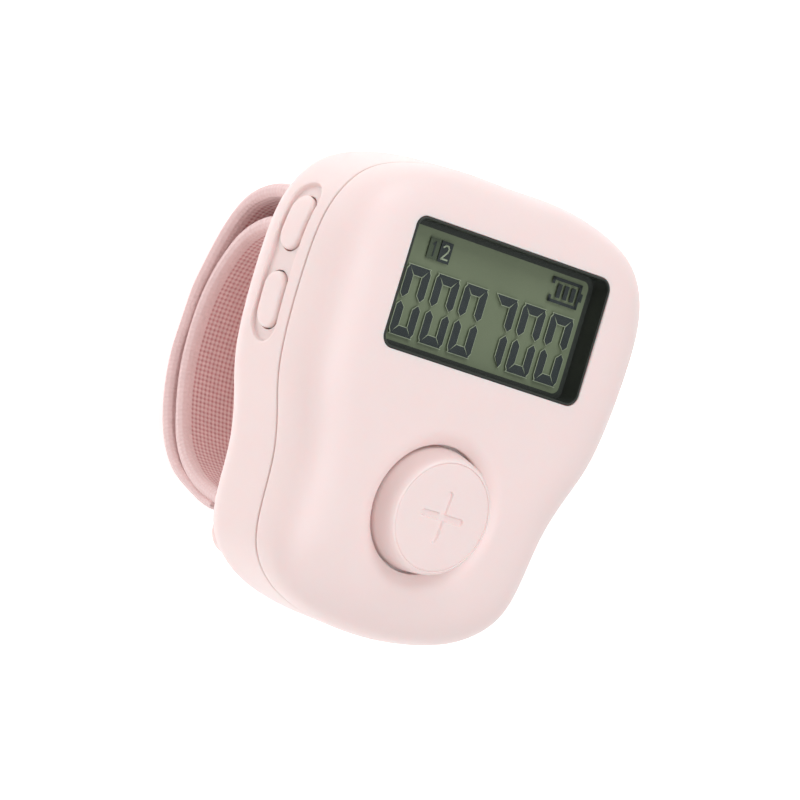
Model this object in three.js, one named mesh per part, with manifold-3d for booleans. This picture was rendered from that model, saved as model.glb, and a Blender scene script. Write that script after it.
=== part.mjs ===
// A finger-worn hand tally counter: a two-part moulded case with a display window, one large
// thumb button, two small side buttons, a coin cell behind a twist-off door, and a folded
// hook-and-loop finger strap held on two steel pins.
//
// Millimetres. +Z is out of the display face, +Y is the display end and -X is the side that
// carries the two small buttons. The counter lies on the flat back of its strap.
// Case heights below are measured from the seam plane between the two shells.

import * as THREE from 'three';
import { mergeVertices } from 'three/addons/utils/BufferGeometryUtils.js';
import Module from 'manifold-3d';

const wasm = await Module();
wasm.setup();

// ---------------------------------------------------------------- driving dimensions

const SEAM_HEIGHT = 31.3;            // strap's flat back to the seam plane
const CENTRE_SHIFT = 0.31;           // puts the case's outline on the origin, end to end
const GAP = 0.15;                    // free space between parts that nearly touch
const WALL = 1.5;                    // case wall
const SEAM_GAP = 0.3;                // fine groove between the two shells
const LIP_TOP = 0.9;                 // the rear shell's inner lip rises this far past the seam

// Right half of the case outline, from the display end's middle to the thumb end's middle.
const HALF_OUTLINE = [
  [0, 20.17], [5.2, 20.19], [10.0, 19.55], [14.6, 17.7], [17.05, 14.1], [17.68, 8.7], [17.0, 0],
  [15.75, -3.9], [14.55, -7.75], [14.1, -12.1], [13.15, -16.0], [10.55, -18.6], [6.7, -20.1], [0, -20.85],
];
const OUTLINE_STEPS = 56;
const LARGEST_TRUE_INSET = 5;        // beyond this the outline shrinks towards its centre instead

const FACE = { crest: 5.21, crestY: 1.87, domeRadius: 175, shoulder: 7.09, fullness: 3 };
const REAR = { depth: 9.43, fillet: 4 };

const WINDOW = { y: 9.66, z: 5.04, width: 22.44, length: 11.71, corner: 1.1, tilt: -0.0445 };
const LENS = { thickness: 1.0, depth: 0.15 };
const BEZEL = { wall: 0.32, margin: 0.6, depth: 5.0 };
const LCD = { depth: 1.95, thickness: 1.5, width: 22.4, length: 11.9 };
const ZEBRA = { width: 20, length: 1.3, y: 5.2, top: 1.55 };

const BOARD = { top: -0.5, thickness: 1.0, inset: 2.6 };
const CHIP = { y: -1.0, radius: 2.3, height: 1.1 };

const THUMB = { y: -8.66, z: 6.46, tilt: 0.061, hole: 5.85, dishRadius: 7.1 };
const THUMB_SWITCH = { y: -8.5, side: 6, height: 3.3, plungerRadius: 1.6, plungerTop: 3.75 };

const SIDE = {
  z: -3.5, length: 5.0, width: 2.9, recessLength: 14.3, recessWidth: 3.7, recessY: 8.06, recessDepth: 0.45,
  wallX: -17.6, capDepth: 2.1, stopDepth: 1.7,
};
const SIDE_BUTTONS = [
  { name: 'upper', y: 11.55, turn: -0.098 },
  { name: 'lower', y: 4.57, turn: 0.061 },
];
const SIDE_SWITCH = { depth: 2.4, length: 4.4, height: 3.0, face: -14.4, plungerTip: -15.2 };

const CELL = { radius: 5.8, thickness: 5.4, bottom: -7.3 };
const DOOR = {
  flange: 7.75, plug: 6.55, lug: 7.35, lugWidth: 4.2, flangeTop: -8.95, lugBottom: -8.0, plugTop: -7.4,
};
const CUP = { inner: 6.5, outer: 7.5, groove: 7.5, collar: 8.5, top: -2.1 };

const SCREWS = [[12.5, 0.5], [-12.5, 0.5], [9.5, -15.5], [-9.5, -15.5]];
const SCREW = { head: 1.5, headBottom: -6.1, headTop: -5.2, shank: 0.8, tip: 2.6, post: 2.3, frontPost: 1.7 };

const STRAP = { width: 13, thickness: 1.3, outerThickness: 1.4 };
const PINS = [{ name: 'top', y: 12.7 }, { name: 'bottom', y: -12.1 }];
const PIN = { z: -12.2, radius: 0.75, reach: 7.4 };
const BRACKET = { inner: 6.9, outer: 7.7, halfLength: 1.4, plateBottom: -9.5, plateTop: -8.9 };
const HOOK_THICKNESS = 0.35;
const TAIL_START = -4.5;             // where the strap's free end begins to peel

// ---------------------------------------------------------------- colours and finishes

function finish(color, roughness, metalness = 0) {
  return new THREE.MeshStandardMaterial({ color, roughness, metalness });
}
const FINISH = {
  shell: finish(0xf0e0dc, 0.55),
  cap: finish(0xf1e1de, 0.5),
  lens: new THREE.MeshStandardMaterial({
    color: 0xf4f6f4, roughness: 0.05, transparent: true, opacity: 0.35,
  }),
  bezel: finish(0x16161a, 0.5),
  lcd: finish(0x6f7660, 0.3),
  rubber: finish(0x3a3a3c, 0.8),
  board: finish(0x1f5a3a, 0.45),
  epoxy: finish(0x111111, 0.4),
  switchBody: finish(0x2a2a2c, 0.5),
  steel: finish(0xc9cacc, 0.3, 1),
  strap: finish(0xdcbdb9, 0.9),
  hook: finish(0xcfa9a6, 1.0),
};

// ---------------------------------------------------------------- solids

/** Turn a closed geometry into a solid that can be joined and cut. */
function toSolid(geometry) {
  const bare = geometry.clone();
  bare.deleteAttribute('normal');
  bare.deleteAttribute('uv');
  const merged = mergeVertices(bare, 1e-4);
  const corners = merged.index.array;
  const kept = [];
  for (let i = 0; i < corners.length; i += 3) {
    const [a, b, c] = [corners[i], corners[i + 1], corners[i + 2]];
    if (a !== b && b !== c && c !== a) kept.push(a, b, c);
  }
  return new wasm.Manifold(new wasm.Mesh({
    numProp: 3,
    vertProperties: Float32Array.from(merged.attributes.position.array),
    triVerts: Uint32Array.from(kept),
  }));
}

/** Turn a solid back into a geometry. */
function toGeometry(solid) {
  const mesh = solid.getMesh();
  const geometry = new THREE.BufferGeometry();
  geometry.setAttribute('position', new THREE.BufferAttribute(mesh.vertProperties, 3));
  geometry.setIndex(new THREE.BufferAttribute(mesh.triVerts, 1));
  geometry.computeVertexNormals();
  return geometry;
}

const join = (...solids) => solids.reduce((whole, next) => whole.add(next));
const cut = (whole, ...tools) => tools.reduce((rest, tool) => rest.subtract(tool), whole);

/** A closed solid through rings of equal point counts, given from the lowest to the highest. */
function loft(rings) {
  const count = rings[0].length;
  const points = rings.flat();
  const faces = [];
  for (let ring = 0; ring < rings.length - 1; ring += 1) {
    for (let step = 0; step < count; step += 1) {
      const next = (step + 1) % count;
      const [a, b] = [ring * count + step, ring * count + next];
      faces.push(a, b, b + count, a, b + count, a + count);
    }
  }
  const middle = (ring) => ring.reduce((sum, p) => sum.add(p), new THREE.Vector3()).divideScalar(count);
  points.push(middle(rings[0]), middle(rings.at(-1)));
  const [low, high] = [points.length - 2, points.length - 1];
  const last = (rings.length - 1) * count;
  for (let step = 0; step < count; step += 1) {
    const next = (step + 1) % count;
    faces.push(low, next, step, high, last + step, last + next);
  }
  const geometry = new THREE.BufferGeometry().setFromPoints(points);
  geometry.setIndex(faces);
  return toSolid(geometry);
}

/** An upright cylinder between two heights. */
function post(radius, bottom, top, x = 0, y = 0, steps = 24) {
  const geometry = new THREE.CylinderGeometry(radius, radius, top - bottom, steps);
  return toSolid(geometry.rotateX(Math.PI / 2).translate(x, y, (top + bottom) / 2));
}

/** A box from its middle in plan and its two heights. */
function block(width, length, bottom, top, x = 0, y = 0) {
  return toSolid(new THREE.BoxGeometry(width, length, top - bottom).translate(x, y, (top + bottom) / 2));
}

/** A turned solid from [radius, height] points, upright. */
function turned(profile, steps = 36) {
  const points = profile.map(([radius, height]) => new THREE.Vector2(radius, height));
  return toSolid(new THREE.LatheGeometry(points, steps).rotateX(Math.PI / 2));
}

/** A rectangle with rounded corners, centred. */
function roundedRectangle(width, length, corner) {
  const [x, y] = [width / 2, length / 2];
  const shape = new THREE.Shape();
  shape.moveTo(x - corner, -y);
  shape.absarc(x - corner, corner - y, corner, -Math.PI / 2, 0);
  shape.absarc(x - corner, y - corner, corner, 0, Math.PI / 2);
  shape.absarc(corner - x, y - corner, corner, Math.PI / 2, Math.PI);
  shape.absarc(corner - x, corner - y, corner, Math.PI, Math.PI * 1.5);
  shape.closePath();
  return shape;
}

/** An upright prism of a flat shape between two heights. */
function prism(shape, bottom, top, curveSegments = 5) {
  const settings = { depth: top - bottom, bevelEnabled: false, curveSegments };
  const geometry = new THREE.ExtrudeGeometry(shape, settings);
  return toSolid(geometry.translate(0, 0, bottom));
}

/** A prism of a shape drawn in the Y-Z plane, between two places along X. */
function sideways(shape, from, to, turn = 0, curveSegments = 8) {
  const geometry = new THREE.ExtrudeGeometry(shape, { depth: to - from, bevelEnabled: false, curveSegments });
  const axes = new THREE.Matrix4().makeBasis(
    new THREE.Vector3(0, 1, 0), new THREE.Vector3(0, 0, 1), new THREE.Vector3(1, 0, 0));
  return toSolid(geometry.translate(0, 0, from).applyMatrix4(axes).rotateZ(turn));
}

// ---------------------------------------------------------------- case outline

const outlineCurve = new THREE.CatmullRomCurve3(
  [...HALF_OUTLINE, ...HALF_OUTLINE.slice(1, -1).reverse().map(([x, y]) => [-x, y])]
    .reverse()                                        // anticlockwise seen from the face
    .map(([x, y]) => new THREE.Vector3(x, y, 0)),
  true, 'centripetal');

/** The case outline moved inwards by a distance, as points in plan. */
function outline(inset) {
  const ring = [];
  for (let step = 0; step < OUTLINE_STEPS; step += 1) {
    const place = outlineCurve.getPointAt(step / OUTLINE_STEPS);
    const along = outlineCurve.getTangentAt(step / OUTLINE_STEPS);
    const direct = Math.min(inset, LARGEST_TRUE_INSET);
    const moved = new THREE.Vector3(place.x - along.y * direct, place.y + along.x * direct, 0);
    ring.push(moved.setLength(moved.length() - (inset - direct)));
  }
  return ring;
}

const faceHeight = (y) => FACE.crest - (y - FACE.crestY) ** 2 / (2 * FACE.domeRadius);

/** The domed front form, a wall's thickness inside the outer skin: upright to the kerb, then domed. */
function frontForm(wall, floor, kerb, shoulder, steps) {
  const rings = [floor, kerb].map((height) => outline(wall).map((p) => p.setZ(height)));
  for (let step = 1; step <= steps; step += 1) {
    const angle = (step / steps) * Math.PI / 2;
    const inset = wall + shoulder * (1 - Math.cos(angle) ** (2 / FACE.fullness));
    const rise = Math.sin(angle) ** (2 / FACE.fullness);
    rings.push(outline(inset).map((p) => p.setZ((faceHeight(p.y) - wall) * rise)));
  }
  for (const share of [0.66, 0.33]) {
    const inner = rings[steps + 1].map((p) => p.clone().multiplyScalar(share));
    rings.push(inner.map((p) => p.setZ(faceHeight(p.y) - wall)));
  }
  return loft(rings);
}

/** The flat-backed rear form, a wall's thickness inside the outer skin, up to a ceiling height. */
function rearForm(wall, ceiling, steps) {
  const fillet = Math.max(REAR.fillet - wall, 0.5);
  const floor = wall - REAR.depth;
  const rings = [];
  for (let step = steps; step >= 0; step -= 1) {
    const angle = (step / steps) * Math.PI / 2;
    const inset = wall + fillet * (1 - Math.cos(angle));
    rings.push(outline(inset).map((p) => p.setZ(floor + fillet * (1 - Math.sin(angle)))));
  }
  rings.push(outline(wall).map((p) => p.setZ(ceiling)));
  return loft(rings);
}

// Places and tilts of the two groups that follow the domed face.
const displayPlace = new THREE.Matrix4().makeRotationX(WINDOW.tilt).setPosition(0, WINDOW.y, WINDOW.z);
const thumbPlace = new THREE.Matrix4().makeRotationX(THUMB.tilt).setPosition(0, THUMB.y, THUMB.z);
const placed = (solid, matrix) => solid.transform(matrix.elements);

/** The window's outline, grown or shrunk by a margin. */
const windowShape = (margin, corner = WINDOW.corner) => roundedRectangle(
  WINDOW.width + 2 * margin, WINDOW.length + 2 * margin, corner);

// ---------------------------------------------------------------- front of the case

function frontShell() {
  const skin = frontForm(0, SEAM_GAP / 2, 0.8, FACE.shoulder, 6);
  const cavity = frontForm(WALL, -1, LIP_TOP + GAP, LARGEST_TRUE_INSET, 4);
  const window = placed(prism(windowShape(0), -4, 2), displayPlace);
  const dish = placed(turned([
    [0, -5], [THUMB.hole, -5], [THUMB.hole, -2.3], [6.05, -1.95], [6.45, -1.7],
    [THUMB.dishRadius, -1.5], [THUMB.dishRadius, -0.2], [0, -0.2]]), thumbPlace);
  const posts = SCREWS.map(([x, y]) => post(SCREW.frontPost, BOARD.top + GAP, 4.2, x, y, 16));
  const bores = SCREWS.map(([x, y]) => post(SCREW.shank + 0.12, -1, 3.0, x, y, 12));
  return cut(join(cut(skin, cavity), ...posts.map((tube) => tube.intersect(skin))), window, dish, ...bores);
}

function displayLens() {
  return prism(windowShape(-BEZEL.wall - 2 * GAP, 0.8), -LENS.depth - LENS.thickness, -LENS.depth);
}

function displayBezel() {
  const envelope = frontForm(WALL + GAP, -3, LIP_TOP, LARGEST_TRUE_INSET, 4);
  const box = placed(prism(windowShape(BEZEL.margin), -BEZEL.depth, -WALL - GAP), displayPlace);
  const collar = placed(prism(windowShape(-GAP), -LCD.depth, -GAP), displayPlace);
  const aperture = placed(prism(windowShape(-BEZEL.wall - GAP, 0.9), -3, 0), displayPlace);
  const pocket = placed(
    prism(roundedRectangle(LCD.width + 2 * GAP, LCD.length + 2 * GAP, 0.3), -6, GAP - LCD.depth),
    displayPlace);
  return cut(join(box.intersect(envelope), collar), aperture, pocket);
}

function lcdPanel() {
  return prism(roundedRectangle(LCD.width, LCD.length, 0.2), -LCD.depth - LCD.thickness, -LCD.depth);
}

// ---------------------------------------------------------------- thumb button and its switch

function thumbButton() {
  return turned([
    [0, 0], [4.7, 0], [5.0, -0.08], [5.2, -0.28], [5.3, -0.6], [5.42, -1.3], [5.6, -2.3], [5.6, -3.35],
    [6.6, -3.35], [6.6, -4.05], [4.4, -4.05], [4.4, -1.2], [1.5, -1.2], [1.5, -2.6], [0, -2.6]].reverse());
}

function thumbSwitchHousing() {
  const { side, height, plungerRadius, y } = THUMB_SWITCH;
  const bottom = BOARD.top + GAP;
  const well = post(plungerRadius + GAP, bottom + 1.2, 9, 0, y, 24);
  return cut(block(side, side, bottom, bottom + height, 0, y), well);
}

function thumbSwitchPlunger() {
  const { plungerRadius, plungerTop, y } = THUMB_SWITCH;
  return post(plungerRadius, BOARD.top + 2.3, plungerTop, 0, y, 24);
}

// ---------------------------------------------------------------- side buttons and their switches

/** A level slot shape in the Y-Z plane with fully round ends. */
function slot(length, width, y, z) {
  const [radius, reach] = [width / 2, (length - width) / 2];
  const shape = new THREE.Shape();
  shape.moveTo(y - reach, z - radius);
  shape.absarc(y + reach, z, radius, -Math.PI / 2, Math.PI / 2);
  shape.absarc(y - reach, z, radius, Math.PI / 2, Math.PI * 1.5);
  return shape;
}

/** A slot-shaped plug through the case's left wall, square to the wall at the button. */
function sidePlug(button, margin, from = -20, to = -12) {
  const shape = slot(SIDE.length + 2 * margin, SIDE.width + 2 * margin, 0, SIDE.z);
  return sideways(shape, from, to, button.turn).translate(
    SIDE.wallX * (1 - Math.cos(button.turn)), button.y - SIDE.wallX * Math.sin(button.turn), 0);
}

function sideButton(button) {
  const cap = cut(sidePlug(button, 0).intersect(rearForm(0.02, -0.5, 2)), rearForm(SIDE.capDepth, 0, 2));
  const stop = cut(
    sidePlug(button, 0.6).intersect(rearForm(SIDE.stopDepth, -0.5, 2)), rearForm(SIDE.capDepth, 0, 2));
  return join(cap, stop);
}

function sideSwitchHousing(button) {
  const { depth, length, height, face } = SIDE_SWITCH;
  const body = block(depth, length, SIDE.z - height / 2, SIDE.z + height / 2, face + depth / 2, button.y);
  const well = sideways(slot(1.9, 1.6, button.y, SIDE.z), face - 1, face + 1.3);
  return cut(body, well);
}

function sideSwitchPlunger(button) {
  return sideways(slot(1.6, 1.3, button.y, SIDE.z), SIDE_SWITCH.plungerTip, SIDE_SWITCH.face + 0.7);
}

// ---------------------------------------------------------------- rear of the case

/** A bar along X through a strap pin's centre. */
function bar(pin, radius, reach, steps = 24) {
  const geometry = new THREE.CylinderGeometry(radius, radius, 2 * reach, steps);
  return toSolid(geometry.rotateZ(Math.PI / 2).translate(0, pin.y, PIN.z));
}

/** A strap bracket: a plate let into the case's back, with an ear at each end for the pin. */
function strapBracket(pin) {
  const { inner, outer, halfLength, plateBottom, plateTop } = BRACKET;
  const side = new THREE.Shape();
  side.moveTo(pin.y - halfLength, plateTop);
  side.lineTo(pin.y - halfLength, PIN.z);
  side.absarc(pin.y, PIN.z, halfLength, Math.PI, 2 * Math.PI);
  side.lineTo(pin.y + halfLength, plateTop);
  const plate = block(2 * outer, 2 * halfLength, plateBottom, plateTop, 0, pin.y);
  const ears = [sideways(side, inner, outer), sideways(side, -outer, -inner)];
  return cut(join(plate, ...ears), bar(pin, PIN.radius + 0.12, 10));
}

function rearShell() {
  const skin = rearForm(0, -SEAM_GAP / 2, 5);
  const cavity = rearForm(WALL, 1, 2);
  const lipOuter = loft([-1.7, LIP_TOP].map((z) => outline(WALL + GAP).map((p) => p.setZ(z))));
  const lipRoot = loft([-1.7, -0.5].map((z) => outline(WALL - 0.3).map((p) => p.setZ(z))));
  const lipInner = loft([-3, 2].map((z) => outline(WALL + 0.85).map((p) => p.setZ(z))));
  const postRoom = SCREWS.map(([x, y]) => post(SCREW.frontPost + GAP, BOARD.top, 3, x, y, 20));
  const lip = cut(join(lipOuter, lipRoot), lipInner, ...postRoom);
  const postTop = BOARD.top - BOARD.thickness - GAP;
  const posts = SCREWS.map(([x, y]) => post(SCREW.post, -REAR.depth + 1, postTop, x, y, 16));
  const cup = join(post(CUP.collar, -8.2, -7.0, 0, 0, 36), post(CUP.outer, -7.2, CUP.top, 0, 0, 36));
  const body = join(cut(skin, cavity), lip, ...posts, cup);
  const pockets = PINS.map((pin) => block(2 * (BRACKET.outer + GAP), 2 * (BRACKET.halfLength + GAP),
    -11, BRACKET.plateTop + GAP, 0, pin.y));

  const recess = cut(sideways(slot(SIDE.recessLength, SIDE.recessWidth, SIDE.recessY, SIDE.z), -19, -15),
    rearForm(SIDE.recessDepth, 0, 2));
  const slots = SIDE_BUTTONS.map((button) => sidePlug(button, 0.12));
  const stopRoom = SIDE_BUTTONS.map((button) => sidePlug(button, 0.8).intersect(rearForm(WALL, 0, 2)));
  const counterbores = SCREWS.map(([x, y]) => post(SCREW.head + GAP, -10, SCREW.headTop + 0.1, x, y, 16));
  const bores = SCREWS.map(([x, y]) => post(SCREW.shank + 0.2, -10, 1, x, y, 12));
  const notch = block(2 * CUP.groove, DOOR.lugWidth + 0.6, -9.2, DOOR.lugBottom).rotate([0, 0, 45])
    .intersect(post(CUP.groove, -9.2, DOOR.lugBottom, 0, 0, 36));
  return cut(body, ...postRoom, recess, ...slots, ...stopRoom, ...counterbores, ...bores, notch,
    post(DOOR.flange + GAP, -10, -8.9, 0, 0, 36),
    post(DOOR.plug + GAP, -10, -7, 0, 0, 36),
    post(CUP.groove, -8.1, -7.25, 0, 0, 36),
    post(CUP.inner, -7.5, 0, 0, 0, 36),
    ...pockets);
}

function batteryDoor() {
  const flange = post(DOOR.flange, -REAR.depth, DOOR.flangeTop, 0, 0, 36);
  const plug = post(DOOR.plug, -REAR.depth + 0.2, DOOR.plugTop, 0, 0, 36);
  const lugs = block(16, DOOR.lugWidth, DOOR.lugBottom, DOOR.plugTop)
    .intersect(post(DOOR.lug, DOOR.lugBottom, DOOR.plugTop, 0, 0, 36));
  const coinSlot = block(9, 1.5, -10, -REAR.depth + 0.9);
  return cut(join(flange, plug, lugs), coinSlot);
}

function caseScrew([x, y]) {
  const { head, headBottom, headTop, shank, tip } = SCREW;
  const recess = [[1.7, 0.45], [0.45, 1.7]].map(([width, length]) => (
    block(width, length, headBottom - 1, headBottom + 0.5, x, y)));
  const body = join(post(head, headBottom, headTop, x, y, 16), post(shank, headTop - 0.2, tip, x, y, 12));
  return cut(body, ...recess);
}

// ---------------------------------------------------------------- electronics

function circuitBoard() {
  const bottom = BOARD.top - BOARD.thickness;
  const sheet = loft([bottom, BOARD.top].map((z) => outline(BOARD.inset).map((p) => p.setZ(z))));
  return cut(sheet, ...SCREWS.map(([x, y]) => post(SCREW.shank + 0.25, -3, 1, x, y, 12)));
}

function controllerChip() {
  const bottom = BOARD.top + 0.05;
  const { radius, height } = CHIP;
  return turned([[0, bottom], [radius, bottom], [radius * 0.93, bottom + height * 0.45],
    [radius * 0.7, bottom + height * 0.8], [radius * 0.35, bottom + height * 0.96], [0, bottom + height]], 28)
    .translate(0, CHIP.y, 0);
}

function zebraStrip() {
  return block(ZEBRA.width, ZEBRA.length, BOARD.top + 0.1, ZEBRA.top, 0, ZEBRA.y);
}

function coinCell() {
  const { radius, thickness, bottom } = CELL;
  return turned([
    [0, bottom], [radius - 0.3, bottom], [radius, bottom + 0.3], [radius, bottom + thickness - 0.7],
    [radius - 0.6, bottom + thickness - 0.2], [radius - 1.2, bottom + thickness - 0.2],
    [radius - 1.2, bottom + thickness], [0, bottom + thickness]], 40);
}

function negativeContact() {
  const top = BOARD.top - BOARD.thickness - 0.05;
  return join(post(2.6, top - 0.25, top, 0, 0, 24), block(1.6, 9, top - 0.25, top, 0, -4));
}

function positiveContact() {
  const top = BOARD.top - BOARD.thickness - 0.05;
  const upright = block(0.3, 3, -6.4, top, CELL.radius + 0.3, 0);
  return join(upright, block(3.5, 3, top - 0.25, top, CELL.radius + 1.9, 0));
}

// ---------------------------------------------------------------- finger strap

/** Points along a smooth line in the Y-Z plane. */
function smoothLine(points, steps) {
  const places = points.map(([y, z]) => new THREE.Vector3(y, z, 0));
  const curve = new THREE.CatmullRomCurve3(places, false, 'centripetal');
  return curve.getSpacedPoints(steps);
}

/** A ribbon of webbing along a line, given its thickness to the left and right of that line. */
function ribbon(points, left, right, steps, halfWidth = STRAP.width / 2) {
  const line = smoothLine(points, steps);
  const edge = (side, share) => line.map((place, i) => {
    const ahead = line[Math.min(i + 1, steps)].clone().sub(line[Math.max(i - 1, 0)]).normalize();
    const reach = side * share(i / steps);
    return new THREE.Vector2(place.x - ahead.y * reach, place.y + ahead.x * reach);
  });
  const shape = new THREE.Shape([...edge(1, left), ...edge(-1, right).reverse()]);
  return sideways(shape, -halfWidth, halfWidth);
}

// Outer surface of the strap's back, from the top pin round to the free end.
const OUTER_BACK = [
  [14.95, -12.2], [14.95, -21.0], [14.6, -24.2], [13.5, -26.7], [11.5, -28.6], [8.4, -30.0],
  [5.0, -30.95], [3.0, -31.3], [0.5, -31.3], [-2.0, -31.3], [TAIL_START, -30.85],
];
const OUTER_TAIL = [
  [TAIL_START, -30.85], [-7.2, -29.9], [-9.6, -28.6], [-11.5, -26.95], [-12.9, -25.0],
  [-13.9, -22.6], [-14.7, -19.6], [-14.85, -17.6],
];
// Inner layer, along its middle, from the bottom pin to the top pin.
const INNER_LAYER = [
  [-13.7, PIN.z], [-13.65, -16.8], [-13.2, -20.0], [-12.2, -22.6], [-10.2, -25.2],
  [-7.0, -27.2], [-3.6, -28.45],
  [0, -28.95], [3.6, -28.7], [6.8, -27.6], [9.3, -25.9], [10.8, -23.6], [11.3, -20.5], [11.1, PIN.z],
];
// Short sewn end that closes the loop round the bottom pin.
const SEWN_END = [[-10.5, PIN.z], [-11.0, -14.2], [-12.2, -16.6]];

function strapBand() {
  const half = STRAP.thickness / 2;
  const inner = ribbon(INNER_LAYER, () => half, () => half, 44);
  const outer = ribbon(OUTER_BACK, () => 0, () => STRAP.outerThickness, 30);
  const filler = ribbon([[5.8, -29.6], [0.5, -29.9], [-3.6, -29.5]], () => 0.7, () => 0.5, 8);
  const sewn = ribbon(SEWN_END, () => half, () => half, 8);
  const loops = PINS.map((pin) => {
    const upper = block(30, 6, PIN.z - 0.05, PIN.z + 4, 0, pin.y);
    return bar(pin, 2.25, STRAP.width / 2, 32).intersect(upper);
  });
  const pinRoom = PINS.map((pin) => bar(pin, PIN.radius + 0.2, 10));
  return cut(join(inner, outer, filler, sewn, ...loops), ...pinRoom);
}

/** The free end thins towards its tip. */
const tailThickness = (share) => 1.15 - 0.7 * share;

function strapTail() {
  return ribbon(OUTER_TAIL, () => 0, tailThickness, 20).intersect(
    block(20, 30, -40, 0, 0, TAIL_START - 0.15 - 15));
}

function hookPatch() {
  const [first, last, steps] = [4, 14, 24];
  const line = smoothLine(OUTER_TAIL, steps).slice(first, last + 1).map((p) => [p.x, p.y]);
  const skin = (share) => tailThickness((first + (last - first) * share) / steps) + 0.05;
  return ribbon(
    line, (share) => -skin(share), (share) => skin(share) + HOOK_THICKNESS, last - first,
    STRAP.width / 2 - 1);
}

// ---------------------------------------------------------------- assembly

const counter = new THREE.Group();
counter.position.set(0, CENTRE_SHIFT, SEAM_HEIGHT);

const displayGroup = new THREE.Group();
displayGroup.position.set(0, WINDOW.y, WINDOW.z);
displayGroup.rotation.x = WINDOW.tilt;

const thumbGroup = new THREE.Group();
thumbGroup.position.set(0, THUMB.y, THUMB.z);
thumbGroup.rotation.x = THUMB.tilt;
counter.add(displayGroup, thumbGroup);

function add(name, solid, material, group = counter) {
  const mesh = new THREE.Mesh(toGeometry(solid), material);
  mesh.name = name;
  group.add(mesh);
}

add('front_shell', frontShell(), FINISH.shell);
add('rear_shell', rearShell(), FINISH.shell);
add('display_lens', displayLens(), FINISH.lens, displayGroup);
add('display_bezel', displayBezel(), FINISH.bezel);
add('lcd_panel', lcdPanel(), FINISH.lcd, displayGroup);
add('zebra_strip', zebraStrip(), FINISH.rubber);
add('circuit_board', circuitBoard(), FINISH.board);
add('controller_chip', controllerChip(), FINISH.epoxy);
add('thumb_button', thumbButton(), FINISH.cap, thumbGroup);
add('thumb_switch_housing', thumbSwitchHousing(), FINISH.switchBody);
add('thumb_switch_plunger', thumbSwitchPlunger(), FINISH.switchBody);
for (const button of SIDE_BUTTONS) {
  add(`side_button_${button.name}`, sideButton(button), FINISH.cap);
  add(`side_switch_housing_${button.name}`, sideSwitchHousing(button), FINISH.switchBody);
  add(`side_switch_plunger_${button.name}`, sideSwitchPlunger(button), FINISH.switchBody);
}
add('coin_cell', coinCell(), FINISH.steel);
add('battery_contact_negative', negativeContact(), FINISH.steel);
add('battery_contact_positive', positiveContact(), FINISH.steel);
add('battery_door', batteryDoor(), FINISH.cap);
SCREWS.forEach((place, i) => add(`case_screw_${i + 1}`, caseScrew(place), FINISH.steel));
for (const pin of PINS) {
  add(`strap_bracket_${pin.name}`, strapBracket(pin), FINISH.shell);
  add(`strap_pin_${pin.name}`, bar(pin, PIN.radius, PIN.reach), FINISH.steel);
}
add('strap_band', strapBand(), FINISH.strap);
add('strap_tail', strapTail(), FINISH.strap);
add('strap_hook_patch', hookPatch(), FINISH.hook);

export default counter;
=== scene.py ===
"""A finger-worn hand tally counter: its visible surfaces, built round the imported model.

Sizes are in millimetres. Case places are measured from the middle of the seam between the two
shells, with X to the counter's right, Y towards the display end and Z out of the face; `Datum`
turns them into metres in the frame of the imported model, which the counter lies on its strap in.
"""

from __future__ import annotations

import logging
import math
from collections.abc import Callable, Sequence
from dataclasses import dataclass, field
from enum import Enum

import bmesh
import bpy
import numpy as np
from mathutils import Matrix, Vector


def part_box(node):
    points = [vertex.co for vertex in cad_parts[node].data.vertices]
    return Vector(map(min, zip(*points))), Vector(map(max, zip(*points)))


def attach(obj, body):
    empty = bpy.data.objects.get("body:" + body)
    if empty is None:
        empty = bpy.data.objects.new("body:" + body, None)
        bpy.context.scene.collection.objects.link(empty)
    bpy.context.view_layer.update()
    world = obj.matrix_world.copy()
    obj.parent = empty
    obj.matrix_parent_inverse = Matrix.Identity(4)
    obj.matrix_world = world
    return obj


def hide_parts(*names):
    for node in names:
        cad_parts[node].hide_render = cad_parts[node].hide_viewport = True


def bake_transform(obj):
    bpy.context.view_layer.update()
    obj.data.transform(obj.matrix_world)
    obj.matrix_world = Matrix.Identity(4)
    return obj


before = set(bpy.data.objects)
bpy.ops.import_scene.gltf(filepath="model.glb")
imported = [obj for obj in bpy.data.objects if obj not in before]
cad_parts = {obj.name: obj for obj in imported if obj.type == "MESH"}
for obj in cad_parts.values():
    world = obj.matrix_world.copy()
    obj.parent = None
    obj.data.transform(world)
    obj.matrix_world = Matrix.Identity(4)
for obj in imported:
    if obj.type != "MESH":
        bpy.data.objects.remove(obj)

LOG = logging.getLogger("tally_counter")
MM = 0.001
BOARD_BELOW_SEAM = 0.5  # the circuit board's top face lies this far behind the seam
SMOOTH_ANGLE = math.radians(32)


class Body(str, Enum):
    """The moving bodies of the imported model."""

    CASE = "case"
    THUMB = "thumb_button"
    SIDE_UPPER = "side_button_upper"
    SIDE_LOWER = "side_button_lower"
    DOOR = "battery_door"
    TAIL = "strap_tail"


class Ends(Enum):
    """How the two ends of a wrapped surface are finished."""

    CAPPED = "capped"
    JOINED = "joined"


# ---------------------------------------------------------------- places and curves


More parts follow.
